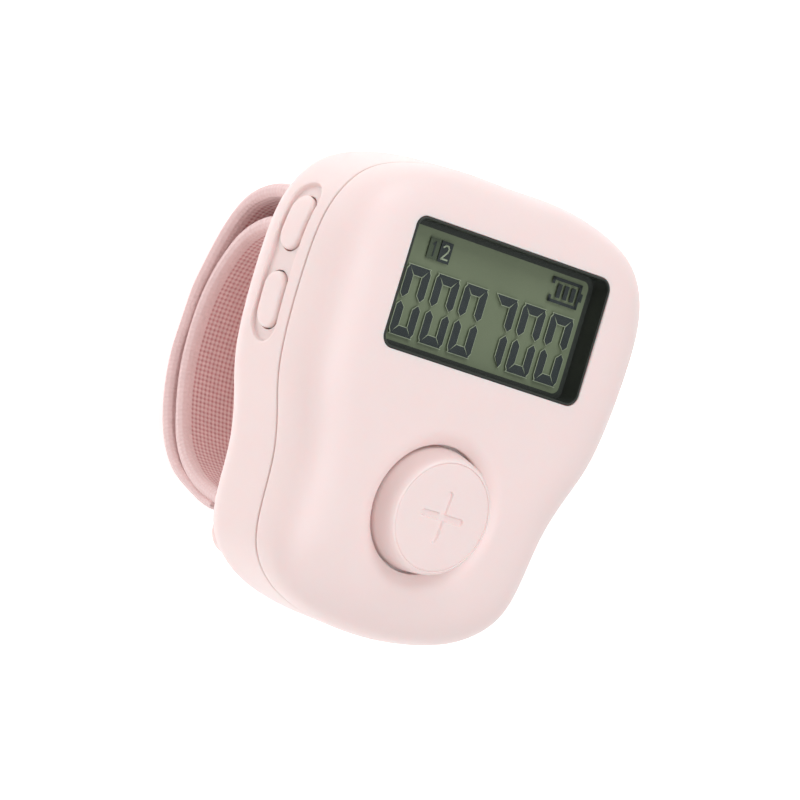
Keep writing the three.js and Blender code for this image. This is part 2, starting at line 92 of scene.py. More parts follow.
@dataclass(frozen=True)
class Datum:
    """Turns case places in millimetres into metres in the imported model's frame."""

    seam: float
    shift: float

    @classmethod
    def from_frame(cls, outline: np.ndarray) -> Datum:
        """Find the seam plane and the outline's end-to-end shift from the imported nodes.

        Args:
            outline: the case outline's points, in millimetres.

        Returns:
            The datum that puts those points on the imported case.
        """
        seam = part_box("circuit_board")[1].z / MM + BOARD_BELOW_SEAM
        low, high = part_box("rear_shell")
        middle = (outline[:, 1].min() + outline[:, 1].max()) / 2
        return cls(seam=seam, shift=(low.y + high.y) / 2 / MM - middle)

    def place(self, points: np.ndarray) -> np.ndarray:
        """Give case points, in millimetres, as metres in the model's frame."""
        return (np.asarray(points, float) + [0.0, self.shift, self.seam]) * MM


def spline(
    points: Sequence[Sequence[float]], samples: int, closed: bool = False
) -> tuple[np.ndarray, np.ndarray]:
    """Draw a smooth cubic curve through points and step along it evenly.

    Args:
        points: the places that the curve passes through.
        samples: how many places to return.
        closed: whether the curve runs back to its first point.

    Returns:
        The places, and the unit direction of travel at each.
    """
    knots = np.asarray(points, float)
    ends = np.vstack([knots, knots[:1]]) if closed else knots
    span = np.sqrt(np.linalg.norm(np.diff(ends, axis=0), axis=1))
    count = len(knots)
    system, right = np.eye(count), np.zeros_like(knots)
    for i in range(count) if closed else range(1, count - 1):
        before, after = span[i - 1], span[i]
        previous, following = (i - 1) % count, (i + 1) % count
        system[i, i] = 2 * (before + after)
        system[i, previous] += before
        system[i, following] += after
        right[i] = 6 * ((knots[following] - knots[i]) / after - (knots[i] - knots[previous]) / before)
    bend = np.linalg.solve(system, right)
    dense = []
    for i in range(len(span)):
        following = (i + 1) % count
        share = np.linspace(0, 1, 60, endpoint=False)[:, None]
        rest = 1 - share
        curve = knots[i] * rest + knots[following] * share
        curve += span[i] ** 2 / 6 * ((rest**3 - rest) * bend[i] + (share**3 - share) * bend[following])
        dense.append(curve)
    line = np.vstack([*dense, ends[-1:]])
    reach = np.concatenate([[0], np.cumsum(np.linalg.norm(np.diff(line, axis=0), axis=1))])
    steps = np.linspace(0, reach[-1], samples, endpoint=not closed)
    even = np.stack([np.interp(steps, reach, line[:, axis]) for axis in range(line.shape[1])], axis=1)
    if closed:
        along = np.roll(even, -1, 0) - np.roll(even, 1, 0)
    else:
        along = np.gradient(even, axis=0)
    return even, along / np.linalg.norm(along, axis=1, keepdims=True)


def rounded_rectangle(width: float, length: float, corner: float, steps: int = 10) -> np.ndarray:
    """Points of a rectangle with round corners, anticlockwise, centred on zero."""
    corner = max(corner, 0.01)
    centres = [(1, -1), (1, 1), (-1, 1), (-1, -1)]
    points = []
    for quarter, (side, end) in enumerate(centres):
        middle = np.array([side * (width / 2 - corner), end * (length / 2 - corner)])
        angles = np.linspace(-math.pi / 2, 0, steps) + quarter * math.pi / 2
        points.append(middle + corner * np.stack([np.cos(angles), np.sin(angles)], axis=1))
    return np.vstack(points)


def circle(radius: float, steps: int) -> np.ndarray:
    """Points of a circle, anticlockwise, centred on zero."""
    angles = np.linspace(0, 2 * math.pi, steps, endpoint=False)
    return radius * np.stack([np.cos(angles), np.sin(angles)], axis=1)


def stadium(length: float, width: float, steps: int = 24) -> np.ndarray:
    """Points of a slot with fully round ends, anticlockwise, long side along the first axis."""
    radius = max(width / 2, 0.0)
    reach = (length - width) / 2
    right = np.linspace(-math.pi / 2, math.pi / 2, steps)
    ends = [(reach, right), (-reach, right + math.pi)]
    sides = []
    for middle, angles in ends:
        sides.append(np.stack([middle + radius * np.cos(angles), radius * np.sin(angles)], axis=1))
        far = np.array([-middle, -sides[-1][0, 1]])
        share = np.linspace(0, 1, steps + 2)[1:-1, None]
        sides.append(sides[-1][-1] * (1 - share) + np.array([far[0], sides[-1][-1, 1]]) * share)
    return np.vstack(sides)


def level(points: np.ndarray, height: float) -> np.ndarray:
    """Give flat points one height."""
    return np.column_stack([points, np.full(len(points), height)])


def tilted(points: np.ndarray, angle: float, middle: Sequence[float]) -> np.ndarray:
    """Turn points about X by an angle in radians, then move them to a middle."""
    cosine, sine = math.cos(angle), math.sin(angle)
    turn = np.array([[1, 0, 0], [0, cosine, -sine], [0, sine, cosine]])
    return points @ turn.T + np.asarray(middle, float)


def smooth_step(values: np.ndarray) -> np.ndarray:
    """Ease values from 0 to 1."""
    share = np.clip(values, 0, 1)
    return share * share * (3 - 2 * share)


# ---------------------------------------------------------------- modelling by operators


def clear_selection() -> None:
    """Leave nothing selected, in object mode."""
    if bpy.context.object and bpy.context.object.mode != "OBJECT":
        bpy.ops.object.mode_set(mode="OBJECT")
    bpy.ops.object.select_all(action="DESELECT")


def pick(piece: bpy.types.Object) -> None:
    """Select one object and make it the active one."""
    clear_selection()
    piece.select_set(True)
    bpy.context.view_layer.objects.active = piece


def wrap(name: str, rings: Sequence[np.ndarray], datum: Datum, ends: Ends = Ends.CAPPED) -> bpy.types.Object:
    """Model a closed surface: a grid laid through rings of points, sewn along its edge.

    Args:
        name: the new object's name.
        rings: rings of equal counts, in case millimetres, in order along the surface.
        datum: turns case places into the model's frame.
        ends: whether the first and last rings are capped or sewn together.

    Returns:
        The new object, its faces pointing outwards.
    """
    rows = [*rings, rings[0]] if ends is Ends.JOINED else list(rings)
    around, along = len(rows[0]), len(rows) - 1
    clear_selection()
    bpy.ops.mesh.primitive_grid_add(x_subdivisions=around, y_subdivisions=along, size=2, location=(0, 0, 0))
    piece = bpy.context.object
    piece.name = piece.data.name = name
    flat = np.zeros(len(piece.data.vertices) * 3)
    piece.data.vertices.foreach_get("co", flat)
    flat = flat.reshape(-1, 3)
    column = np.rint((flat[:, 0] + 1) / 2 * around).astype(int) % around
    row = np.rint((flat[:, 1] + 1) / 2 * along).astype(int)
    places = datum.place(np.stack(rows)[row, column])
    piece.data.vertices.foreach_set("co", places.ravel())
    piece.data.update()
    bpy.ops.object.mode_set(mode="EDIT")
    bpy.ops.mesh.select_all(action="SELECT")
    bpy.ops.mesh.remove_doubles(threshold=2e-7)
    if ends is Ends.CAPPED:
        bpy.ops.mesh.select_all(action="DESELECT")
        bpy.ops.mesh.select_mode(type="EDGE")
        bpy.ops.mesh.select_non_manifold()
        if piece.data.count_selected_items()[1]:
            bpy.ops.mesh.fill_holes(sides=0)
    bpy.ops.mesh.select_all(action="SELECT")
    bpy.ops.mesh.normals_make_consistent(inside=False)
    bpy.ops.object.mode_set(mode="OBJECT")
    return piece


def cut(piece: bpy.types.Object, tool: bpy.types.Object, operation: str = "DIFFERENCE") -> None:
    """Cut or join a piece with a tool, which is used up.

    Args:
        piece: the object that is changed.
        tool: the object that cuts or joins it.
        operation: the boolean modifier's operation.
    """
    pick(piece)
    bpy.ops.object.modifier_add(type="BOOLEAN")
    change = piece.modifiers[-1]
    change.operation, change.solver, change.object = operation, "EXACT", tool
    bpy.ops.object.modifier_apply(modifier=change.name)
    bpy.data.objects.remove(tool, do_unlink=True)


def bevel(piece: bpy.types.Object, width: float, segments: int = 3, angle: float = 40) -> None:
    """Round a piece's sharp edges with an applied bevel.

    Args:
        piece: the object that is changed.
        width: the bevel's width, in millimetres.
        segments: how many steps round the edge.
        angle: edges sharper than this, in degrees, are rounded.
    """
    pick(piece)
    bpy.ops.object.modifier_add(type="BEVEL")
    change = piece.modifiers[-1]
    change.width, change.segments = width * MM, segments
    change.limit_method, change.angle_limit = "ANGLE", math.radians(angle)
    change.harden_normals = False
    bpy.ops.object.modifier_apply(modifier=change.name)


def smooth(piece: bpy.types.Object, angle: float = SMOOTH_ANGLE) -> None:
    """Shade a piece smooth except across its sharp edges."""
    pick(piece)
    bpy.ops.object.shade_smooth_by_angle(angle=angle)


def join_pieces(name: str, pieces: Sequence[bpy.types.Object]) -> bpy.types.Object:
    """Join several objects into one of the given name."""
    clear_selection()
    for piece in pieces:
        piece.select_set(True)
    bpy.context.view_layer.objects.active = pieces[0]
    bpy.ops.object.join()
    whole = bpy.context.object
    whole.name = whole.data.name = name
    return whole


def check_closed(piece: bpy.types.Object) -> None:
    """Stop the build if a piece has an open or doubled edge, as a failed cut leaves behind.

    Args:
        piece: the finished object.

    Raises:
        RuntimeError: if the piece isn't closed.
    """
    mesh = bmesh.new()
    mesh.from_mesh(piece.data)
    faults = sum(not edge.is_manifold for edge in mesh.edges)
    volume = mesh.calc_volume(signed=True)
    mesh.free()
    if faults or volume <= 0:
        raise RuntimeError(f"{piece.name} isn't a closed solid: {faults} bad edges, volume {volume:.3e}")


def set_piece(
    piece: bpy.types.Object, body: Body, slot: str, finish: bpy.types.Material, *nodes: str
) -> None:
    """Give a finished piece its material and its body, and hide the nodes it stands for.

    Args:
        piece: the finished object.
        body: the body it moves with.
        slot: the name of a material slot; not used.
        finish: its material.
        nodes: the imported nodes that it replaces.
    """
    check_closed(piece)
    piece.data.materials.clear()
    piece.data.materials.append(finish)
    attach(piece, body.value)
    if nodes:
        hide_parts(*nodes)
    LOG.info("%s: %d faces, on %s", piece.name, len(piece.data.polygons), body.value)


# ---------------------------------------------------------------- finishes


def linear(colour: str) -> tuple[float, float, float, float]:
    """Turn an sRGB hex colour into the linear values that Blender uses."""
    channels = [int(colour.lstrip("#")[i : i + 2], 16) / 255 for i in (0, 2, 4)]
    return (*(c / 12.92 if c <= 0.04045 else ((c + 0.055) / 1.055) ** 2.4 for c in channels), 1.0)


def add_node(
    tree: bpy.types.NodeTree, kind: str, settings: dict | None = None, links: dict | None = None
) -> bpy.types.Node:
    """Add a shader node with its settings and incoming links.

    Args:
        tree: the material's node tree.
        kind: the node's type name, without its ShaderNode prefix.
        settings: values by property name, input name or input number.
        links: output sockets by input name or input number.

    Returns:
        The new node.
    """
    node = tree.nodes.new("ShaderNode" + kind)
    for key, value in (settings or {}).items():
        if isinstance(key, str) and hasattr(node, key):
            setattr(node, key, value)
        else:
            node.inputs[key].default_value = value
    for key, source in (links or {}).items():
        tree.links.new(source, node.inputs[key])
    return node


@dataclass(frozen=True)
class Finish:
    """A material: two close colours mottled together, and a fine grain in its surface."""

    name: str
    colour: str
    mottle: str
    roughness: float
    grain: float = 0.12  # millimetres across one grain
    relief: float = 0.004  # millimetres from grain to hollow
    metallic: float = 0.0
    ior: float = 1.5
    patch: float = 6.0  # millimetres across one patch of colour
    extra: dict = field(default_factory=dict)

    def start(self) -> tuple[bpy.types.Material, bpy.types.NodeTree, bpy.types.Node, bpy.types.Node]:
        """Make the material with its shader and the object's own coordinates."""
        material = bpy.data.materials.new(self.name)
        material.use_nodes = True
        tree = material.node_tree
        shader = tree.nodes["Principled BSDF"]
        shader.inputs["Metallic"].default_value = self.metallic
        if not self.metallic:
            shader.inputs["IOR"].default_value = self.ior
        for key, value in self.extra.items():
            shader.inputs[key].default_value = value
        return material, tree, shader, add_node(tree, "TexCoord")

    def colour_and_grain(
        self, tree: bpy.types.NodeTree, shader: bpy.types.Node, place: bpy.types.NodeSocket
    ) -> bpy.types.Node:
        """Lay the mottled colour, the uneven gloss and the grain; returns the bump node."""
        patches = add_node(tree, "TexNoise", {"Scale": 1 / (self.patch * MM), "Detail": 3.0},
            {"Vector": place})
        blend = add_node(
            tree, "Mix",
            {"data_type": "RGBA", 6: linear(self.colour), 7: linear(self.mottle)},
            {0: patches.outputs["Fac"]},
        )
        gloss = add_node(
            tree, "MapRange",
            {"From Min": 0.3, "From Max": 0.7, "To Min": self.roughness - 0.05,
            "To Max": self.roughness + 0.05},
            {"Value": patches.outputs["Fac"]},
        )
        grains = add_node(tree, "TexNoise", {"Scale": 1 / (self.grain * MM), "Detail": 2.0},
            {"Vector": place})
        bump = add_node(
            tree, "Bump", {"Strength": 1.0, "Distance": self.relief * MM}, {"Height": grains.outputs["Fac"]}
        )
        tree.links.new(blend.outputs[2], shader.inputs["Base Color"])
        tree.links.new(gloss.outputs["Result"], shader.inputs["Roughness"])
        tree.links.new(bump.outputs["Normal"], shader.inputs["Normal"])
        return bump

    def material(self) -> bpy.types.Material:
        """Build the material."""
        material, tree, shader, place = self.start()
        self.colour_and_grain(tree, shader, place.outputs["Object"])
        return material


@dataclass(frozen=True)
class TurnedSteel(Finish):
    """Plated steel with fine ring marks from turning and handling scratches."""

    ring: float = 0.09  # millimetres between tool marks

    def material(self) -> bpy.types.Material:
        """Build the material."""
        material, tree, shader, place = self.start()
        self.colour_and_grain(tree, shader, place.outputs["Object"])
        marks = add_node(
            tree, "TexWave",
            {"wave_type": "RINGS", "Scale": 1 / (self.ring * MM * 20), "Distortion": 1.5, "Detail": 2.0},
            {"Vector": place.outputs["Object"]},
        )
        fine = add_node(
            tree, "Bump", {"Strength": 0.35, "Distance": self.relief * MM}, {"Height": marks.outputs["Fac"]}
        )
        tree.links.new(fine.outputs["Normal"], shader.inputs["Normal"])
        return material


@dataclass(frozen=True)
class Webbing(Finish):
    """Woven nylon: crossing threads on the band's own map, with painted shade where they dive under."""

    thread: float = 0.44  # millimetres between threads
    # painted shade: the colour laid in the weave's hollows, which also darkens the woven panel against its
    # plain border
    hollow_shade: str = "#ce8888"

    def material(self) -> bpy.types.Material:
        """Build the material."""
        material, tree, shader, place = self.start()
        self.colour_and_grain(tree, shader, place.outputs["Object"])
        sizes = (1 / self.thread, 1 / self.thread, 1.0)
        cells = add_node(tree, "Mapping", {"Scale": sizes}, {"Vector": place.outputs["UV"]})
        split = add_node(tree, "SeparateXYZ", None, {0: cells.outputs["Vector"]})
        waves = []
        for axis in ("X", "Y"):
            turn = add_node(tree, "Math", {"operation": "MULTIPLY", 1: 2 * math.pi}, {0: split.outputs[axis]})
            waves.append(add_node(tree, "Math", {"operation": "COSINE"}, {0: turn.outputs[0]}))
        thread = add_node(tree, "Math", {"operation": "ADD"},
            {0: waves[0].outputs[0], 1: waves[1].outputs[0]})
        height = add_node(
            tree, "MapRange", {"From Min": -2.0, "From Max": 1.2, "To Min": 0.0, "To Max": 1.0},
            {"Value": thread.outputs[0]},
        )
        fuzz = add_node(
            tree, "TexNoise", {"Scale": 1 / (0.16 * MM), "Detail": 3.0}, {"Vector": place.outputs["Object"]}
        )
        panel = add_node(tree, "Attribute", {"attribute_name": "panel"})
        pale = shader.inputs["Base Color"].links[0].from_socket
        # Painted shade: where the weave's height is low, the woven panel takes the darker hollow colour. The
        # plain border keeps the pale colour.
        sunk = add_node(
            tree, "Mix", {"data_type": "RGBA", 6: linear(self.hollow_shade)}, {0: height.outputs["Result"], 7: pale}
        )
        woven = add_node(
            tree, "Mix", {"data_type": "RGBA"}, {0: panel.outputs["Fac"], 6: pale, 7: sunk.outputs[2]}
        )
        rough = add_node(
            tree, "Math", {"operation": "MULTIPLY_ADD", 1: 0.35},
            {0: fuzz.outputs["Fac"], 2: height.outputs["Result"]}
        )
        relief = add_node(
            tree, "Bump", {"Strength": 0.9, "Distance": 0.07 * MM}, {"Height": rough.outputs[0]}
        )
        tree.links.new(woven.outputs[2], shader.inputs["Base Color"])
        tree.links.new(relief.outputs["Normal"], shader.inputs["Normal"])
        return material


SKIN_SCATTER = {
    "Subsurface Weight": 0.4,
    "Subsurface Radius": (1.0, 0.32, 0.27),
    "Subsurface Scale": 0.9 * MM,
}


class Finishes:
    """Every finish on the counter, made once."""

    def __init__(self) -> None:
        """Build the materials."""
        # Moulded ABS, spark-eroded tool: satin, with a grain too fine to see as more than softness.
        self.shell = Finish("moulded_abs_shell", "#efd8d4", "#f1dad6", 0.42, extra=SKIN_SCATTER).material()
        # The buttons come from a smoother tool, so they shine a little more.
        self.cap = Finish(
            "moulded_abs_button", "#f0d9d5", "#f2dcd8", 0.36, relief=0.002, extra=SKIN_SCATTER).material()
        # Satin black polycarbonate.
        self.bezel = Finish("black_polycarbonate", "#2b2f29", "#31352f", 0.5).material()
        # Polished acrylic: clear, with a thin reflection.
        self.lens = Finish(
            "clear_acrylic", "#1c201c", "#202420", 0.06, relief=0.0003, ior=1.49,
            extra={"Alpha": 0.05}).material()
        # Liquid-crystal panel in front of a grey-green reflector film.
        self.reflector = Finish(
            "lcd_reflector", "#6e775d", "#7a8367", 0.5, grain=0.05, relief=0.001, patch=9.0).material()
        self.segment = Finish("lcd_segment", "#2e3433", "#353b3c", 0.4, relief=0.0005, patch=1.5).material()
        self.ghost = Finish("lcd_ghost", "#4a5340", "#505a46", 0.45, relief=0.0005).material()
        self.segment_edge = Finish("lcd_segment_edge", "#a3ad90", "#aeb79b", 0.5, relief=0.0005).material()
        # Silicone with a powdery skin.
        self.silicone = Finish("silicone_rubber", "#4a4a4c", "#59595b", 0.8, grain=0.2,
            relief=0.01).material()
        # Glass-epoxy board under green solder mask: the cloth weave shows faintly.
        self.board = Finish("solder_masked_board", "#175138", "#1d5f42", 0.3, grain=0.4,
            relief=0.008).material()
        self.epoxy = Finish("potting_epoxy", "#0a0a0a", "#141414", 0.22, grain=0.5, relief=0.01).material()
        self.nylon = Finish("moulded_nylon", "#1d1d1f", "#26262a", 0.5).material()
        # Nickel plate over pressed steel.
        self.plate = TurnedSteel("nickel_plate", "#cfcdc8", "#bdbbb6", 0.24, metallic=1.0).material()
        self.spring = TurnedSteel("plated_spring_steel", "#cdc7b4", "#b9b3a0", 0.28, metallic=1.0).material()
        self.zinc = TurnedSteel("bright_zinc", "#c9cbce", "#b4b7bb", 0.3, metallic=1.0).material()
        # Nylon loop webbing: soft, matt, a sheen of fine fibres.
        fibres = {"Sheen Weight": 0.35, "Sheen Roughness": 0.5}
        self.webbing = Webbing(
            "woven_nylon_webbing", "#f2d1cf", "#f4d5d2", 0.85, grain=0.18, relief=0.02,
            extra=fibres).material()
        self.hook = Finish("nylon_hook_tape", "#cfa6a3", "#c89d9a", 0.7, grain=0.25, relief=0.05).material()


# ---------------------------------------------------------------- the case


@dataclass(frozen=True)
class CaseForm:
    """The outline and the two halves' profiles, shared by everything that follows the case."""

    half_outline: tuple = (
        (0, 20.17), (5.2, 20.19), (10.0, 19.55), (14.6, 17.7), (17.05, 14.1), (17.68, 8.7), (17.0, 0.0),
        (15.75, -3.9), (14.55, -7.75), (14.1, -12.1), (13.15, -16.0), (10.55, -18.6), (6.7, -20.1),
        (0, -20.85),
    )
    steps: int = 400
    true_inset: float = 5.0  # further in than this, the outline shrinks towards its centre
    crest: float = 5.21
    crest_y: float = 1.87
    dome_radius: float = 175.0
    shoulder: float = 7.09
    fullness: float = 3.0
    depth: float = 9.43
    fillet: float = 4.0
    seam_half: float = 0.10  # half of the fine groove between the shells
    seam_round: float = 0.11
    window_y: float = 9.66
    window_z: float = 5.04
    window_tilt: float = -0.0445
    thumb_y: float = -8.66
    thumb_z: float = 6.46
    thumb_tilt: float = 0.061

    def edge(self, samples: int) -> tuple[np.ndarray, np.ndarray]:
        """The outline's points and directions, anticlockwise from the display end's middle."""
        right = list(self.half_outline)
        left = [(-x, y) for x, y in right[1:-1]]
        return spline([right[0], *left, *right[:0:-1]], samples, closed=True)

    def inset(self, distance: float) -> np.ndarray:
        """The outline moved inwards by a distance in millimetres, as flat points."""
        points, along = self.edge(self.steps)
        direct = min(distance, self.true_inset)
        moved = points + direct * np.stack([-along[:, 1], along[:, 0]], axis=1)
        reach = np.linalg.norm(moved, axis=1, keepdims=True)
        return moved * (reach - (distance - direct)) / reach

    def face_height(self, y: np.ndarray) -> np.ndarray:
        """The gently domed face's height above the seam."""
        return self.crest - (y - self.crest_y) ** 2 / (2 * self.dome_radius)

    def shoulder_rings(self, wall: float, rings: int) -> list[np.ndarray]:
        """Rings from the front's edge up and over its soft shoulder, a wall's thickness in."""
        made = []
        for share in np.linspace(0.0, 1.0, rings + 1)[1:]:
            angle = share**1.35 * math.pi / 2
            plan = self.inset(wall + self.shoulder * (1 - math.cos(angle) ** (2 / self.fullness)))
            rise = math.sin(angle) ** (2 / self.fullness)
            made.append(np.column_stack([plan, (self.face_height(plan[:, 1]) - wall) * rise]))
        return made

    def inward(
        self, ring: np.ndarray, height: Callable[[np.ndarray], np.ndarray], rings: int
    ) -> list[np.ndarray]:
        """Rings that shrink from one ring to the middle of a face of a given height."""
        shares = np.linspace(1, 0, rings + 1)[1:-1]
        plans = [ring[:, :2] * share for share in [*shares, shares[-1] * 0.15]]
        return [np.column_stack([plan, height(plan)]) for plan in plans]

    def wall_places(self, y: np.ndarray, z: np.ndarray, depth: np.ndarray) -> np.ndarray:
        """Places on the left side wall, a depth inside it, for a place along the case and a height."""
        points, along = self.edge(self.steps * 4)
        left = points[:, 0] < -12
        points, along = points[left], along[left]
        order = np.argsort(points[:, 1])
        rows = points[order, 1]
        x = np.interp(y, rows, points[order, 0])
        inward_x = np.interp(y, rows, -along[order, 1])
        inward_y = np.interp(y, rows, along[order, 0])
        return np.column_stack([x + inward_x * depth, y + inward_y * depth, z])


@dataclass
class FrontShell:
    """The front of the case: the domed face with its window and the dish round the thumb button."""

    form: CaseForm
    datum: Datum
    finishes: Finishes
    wall: float = 1.5
    window: tuple[float, float, float] = (22.44, 11.71, 1.15)
    chamfer: float = 0.12
    hole: float = 5.85
    dish_radius: float = 7.6
    dish_depth: float = 0.72

    def dished(self, ring: np.ndarray) -> np.ndarray:
        """Sink a ring's points where the face rolls over into the thumb button's hole."""
        form = self.form
        away = np.hypot(ring[:, 0], ring[:, 1] - form.thumb_y)
        share = np.clip((self.dish_radius - away) / (self.dish_radius - self.hole), 0, 1.3)
        return ring - np.column_stack([np.zeros((len(ring), 2)), self.dish_depth * share**2])

    def face(self, plan: np.ndarray) -> np.ndarray:
        """The outer face's height over flat points."""
        return self.form.face_height(plan[:, 1])

    def shell(self) -> bpy.types.Object:
        """Wrap the shell: inside first, round the seam's edge, then over the outside."""
        form = self.form
        inner = form.shoulder_rings(self.wall, 10)
        inner_top = form.inward(inner[-1], lambda plan: self.face(plan) - self.wall, 6)
        under = level(form.inset(self.wall), form.seam_half)
        rings = [*reversed(inner_top), *reversed(inner), level(form.inset(self.wall), 0.6), under]
        for share in (0.0, 0.3, 0.65, 1.0):
            angle = share * math.pi / 2
            inset = form.seam_round * (1 - math.sin(angle))
            rings.append(level(form.inset(inset), form.seam_half + form.seam_round * (1 - math.cos(angle))))
        outer = [ring for ring in form.shoulder_rings(0, 46) if ring[:, 2].min() > 0.35]
        over = [*outer, *form.inward(outer[-1], self.face, 76)]
        return wrap("front_shell_skin", [*rings, *(self.dished(ring) for ring in over)], self.datum)

    def window_tool(self) -> bpy.types.Object:
        """The window's cutter, flared at the face so that it leaves a fine chamfer."""
        form = self.form
        width, length, corner = self.window
        rings = []
        for height, grow in ((-4.5, 0.0), (-self.chamfer, 0.0), (0.03, self.chamfer), (2.0, 2.0)):
            flat = rounded_rectangle(width + 2 * grow, length + 2 * grow, corner + grow)
            rings.append(tilted(level(flat, height), form.window_tilt, (0, form.window_y, form.window_z)))
        return wrap("window_tool", rings, self.datum)

    def hole_tool(self) -> bpy.types.Object:
        """The thumb button hole's cutter, with a small round at its mouth."""
        form = self.form
        rings = []
        for height, radius in ((-5.5, 0.0), (-2.5, 0.0), (-2.36, 0.02), (-2.26, 0.07), (-2.2, 0.16),
                (1.0, 0.2)):
            flat = level(circle(self.hole + radius, 160), height)
            rings.append(tilted(flat, form.thumb_tilt, (0, form.thumb_y, form.thumb_z)))
        return wrap("hole_tool", rings, self.datum)

    def build(self) -> None:
        """Model and dress the front shell."""
        shell = self.shell()
        cut(shell, self.window_tool())
        cut(shell, self.hole_tool())
        smooth(shell)
        set_piece(shell, Body.CASE, "shell_plastic", self.finishes.shell, "front_shell")


@dataclass
class RearShell:
    """The rear of the case, with the side buttons' recess and the openings in its back."""

    form: CaseForm
    datum: Datum
    finishes: Finishes
    buttons: tuple[float, ...] = (11.55, 4.57)
    button_z: float = -3.5
    button_length: float = 5.0
    button_width: float = 2.9
    recess_y: float = 8.06
    recess_length: float = 14.3
    recess_width: float = 3.7
    recess_depth: float = 0.45
    wall: float = 2.3

    def shell(self) -> bpy.types.Object:
        """Wrap the shell: the cavity, the lip that enters the front shell, then the outside."""
        form = self.form
        floor = 1.5 - form.depth
        inner = level(form.inset(self.wall), floor)
        rings = [*reversed(form.inward(inner, lambda plan: np.full(len(plan), floor), 3)), inner]
        rings += [level(form.inset(self.wall), 0.8), level(form.inset(1.7), 0.8),
            level(form.inset(1.7), -form.seam_half)]
        for share in (0.0, 0.35, 0.7, 1.0):
            angle = share * math.pi / 2
            inset = form.seam_round * (1 - math.sin(angle))
            rings.append(level(form.inset(inset), -form.seam_half - form.seam_round * (1 - math.cos(angle))))
        side_end = form.fillet - form.depth
        rings += [level(form.inset(0), height) for height in np.linspace(-0.6, side_end, 12)]
        for angle in np.linspace(0, math.pi / 2, 19)[1:]:
            inset = form.fillet * (1 - math.cos(angle))
            rings.append(level(form.inset(inset), side_end - form.fillet * math.sin(angle)))
        rings += form.inward(rings[-1], lambda plan: np.full(len(plan), -form.depth), 10)
        return wrap("rear_shell_skin", rings, self.datum)

    def wall_tool(
        self, name: str, y: float, length: float, width: float, layers: Sequence
    ) -> bpy.types.Object:
        """A slot-shaped cutter or cap that follows the left wall.

        Args:
            name: the new object's name.
            y: the slot's middle along the case.
            length: its length along the case.
            width: its width.
            layers: depth into the wall and growth of the slot, from one end of the tool to the other.

        Returns:
            The new object.
        """
        rings = []
        for depth, grow in layers:
            flat = stadium(length + 2 * grow, width + 2 * grow)
            rings.append(
                self.form.wall_places(y + flat[:, 0], self.button_z + flat[:, 1], np.full(len(flat), depth)))
        return wrap(name, rings, self.datum)

    def cut_side(self, shell: bpy.types.Object) -> None:
        """Cut the recess, then a slot for each button."""
        half = self.recess_width / 2
        deep = self.recess_depth
        closing = [(deep, -half * share) for share in (1.0, 0.75, 0.5, 0.25, 0.1)]
        edge = [(deep, -0.12), (deep - 0.04, -0.04), (deep - 0.12, 0.0), (0.12, 0.02), (0.04, 0.06),
            (-0.02, 0.16), (-0.6, 0.5)]
        recess = [*closing, *edge, (-0.6, -half * 0.5), (-0.6, -half)]
        cut(shell,
            self.wall_tool("recess_tool", self.recess_y, self.recess_length, self.recess_width, recess))
        through = [(3.2, 0.28), (1.2, 0.2), (deep + 0.05, 0.13), (deep - 0.02, 0.16), (-1.0, 0.24)]
        for y in self.buttons:
            cut(shell, self.wall_tool("slot_tool", y, self.button_length, self.button_width, through))

    def build(
        self, posts: Sequence[Callable[[], bpy.types.Object]],
        back_tools: Sequence[Callable[[], bpy.types.Object]]
    ) -> None:
        """Model and dress the rear shell and the side buttons.

        Args:
            posts: functions that make the screw posts inside the shell.
            back_tools: functions that make the cutters for the case's back.
        """
        shell = self.shell()
        for post in posts:
            cut(shell, post(), "UNION")
        self.cut_side(shell)
        for tool in back_tools:
            cut(shell, tool())
        smooth(shell)
        set_piece(shell, Body.CASE, "shell_plastic", self.finishes.shell, "rear_shell")
        half = self.button_width / 2
        sides = [(2.0, 0.0), (0.34, 0.0), (0.2, -0.03), (0.09, -0.1), (0.025, -0.2), (0.0, -0.34)]
        crown = [(-0.012, -half * share) for share in (0.4, 0.6, 0.8, 1.0)]
        for name, body, y in zip(("upper", "lower"), (Body.SIDE_UPPER, Body.SIDE_LOWER), self.buttons):
            node = f"side_button_{name}"
            cap = self.wall_tool(node + "_cap", y, self.button_length, self.button_width, [*sides, *crown])
            smooth(cap)
            set_piece(cap, body, "button_plastic", self.finishes.cap, node)


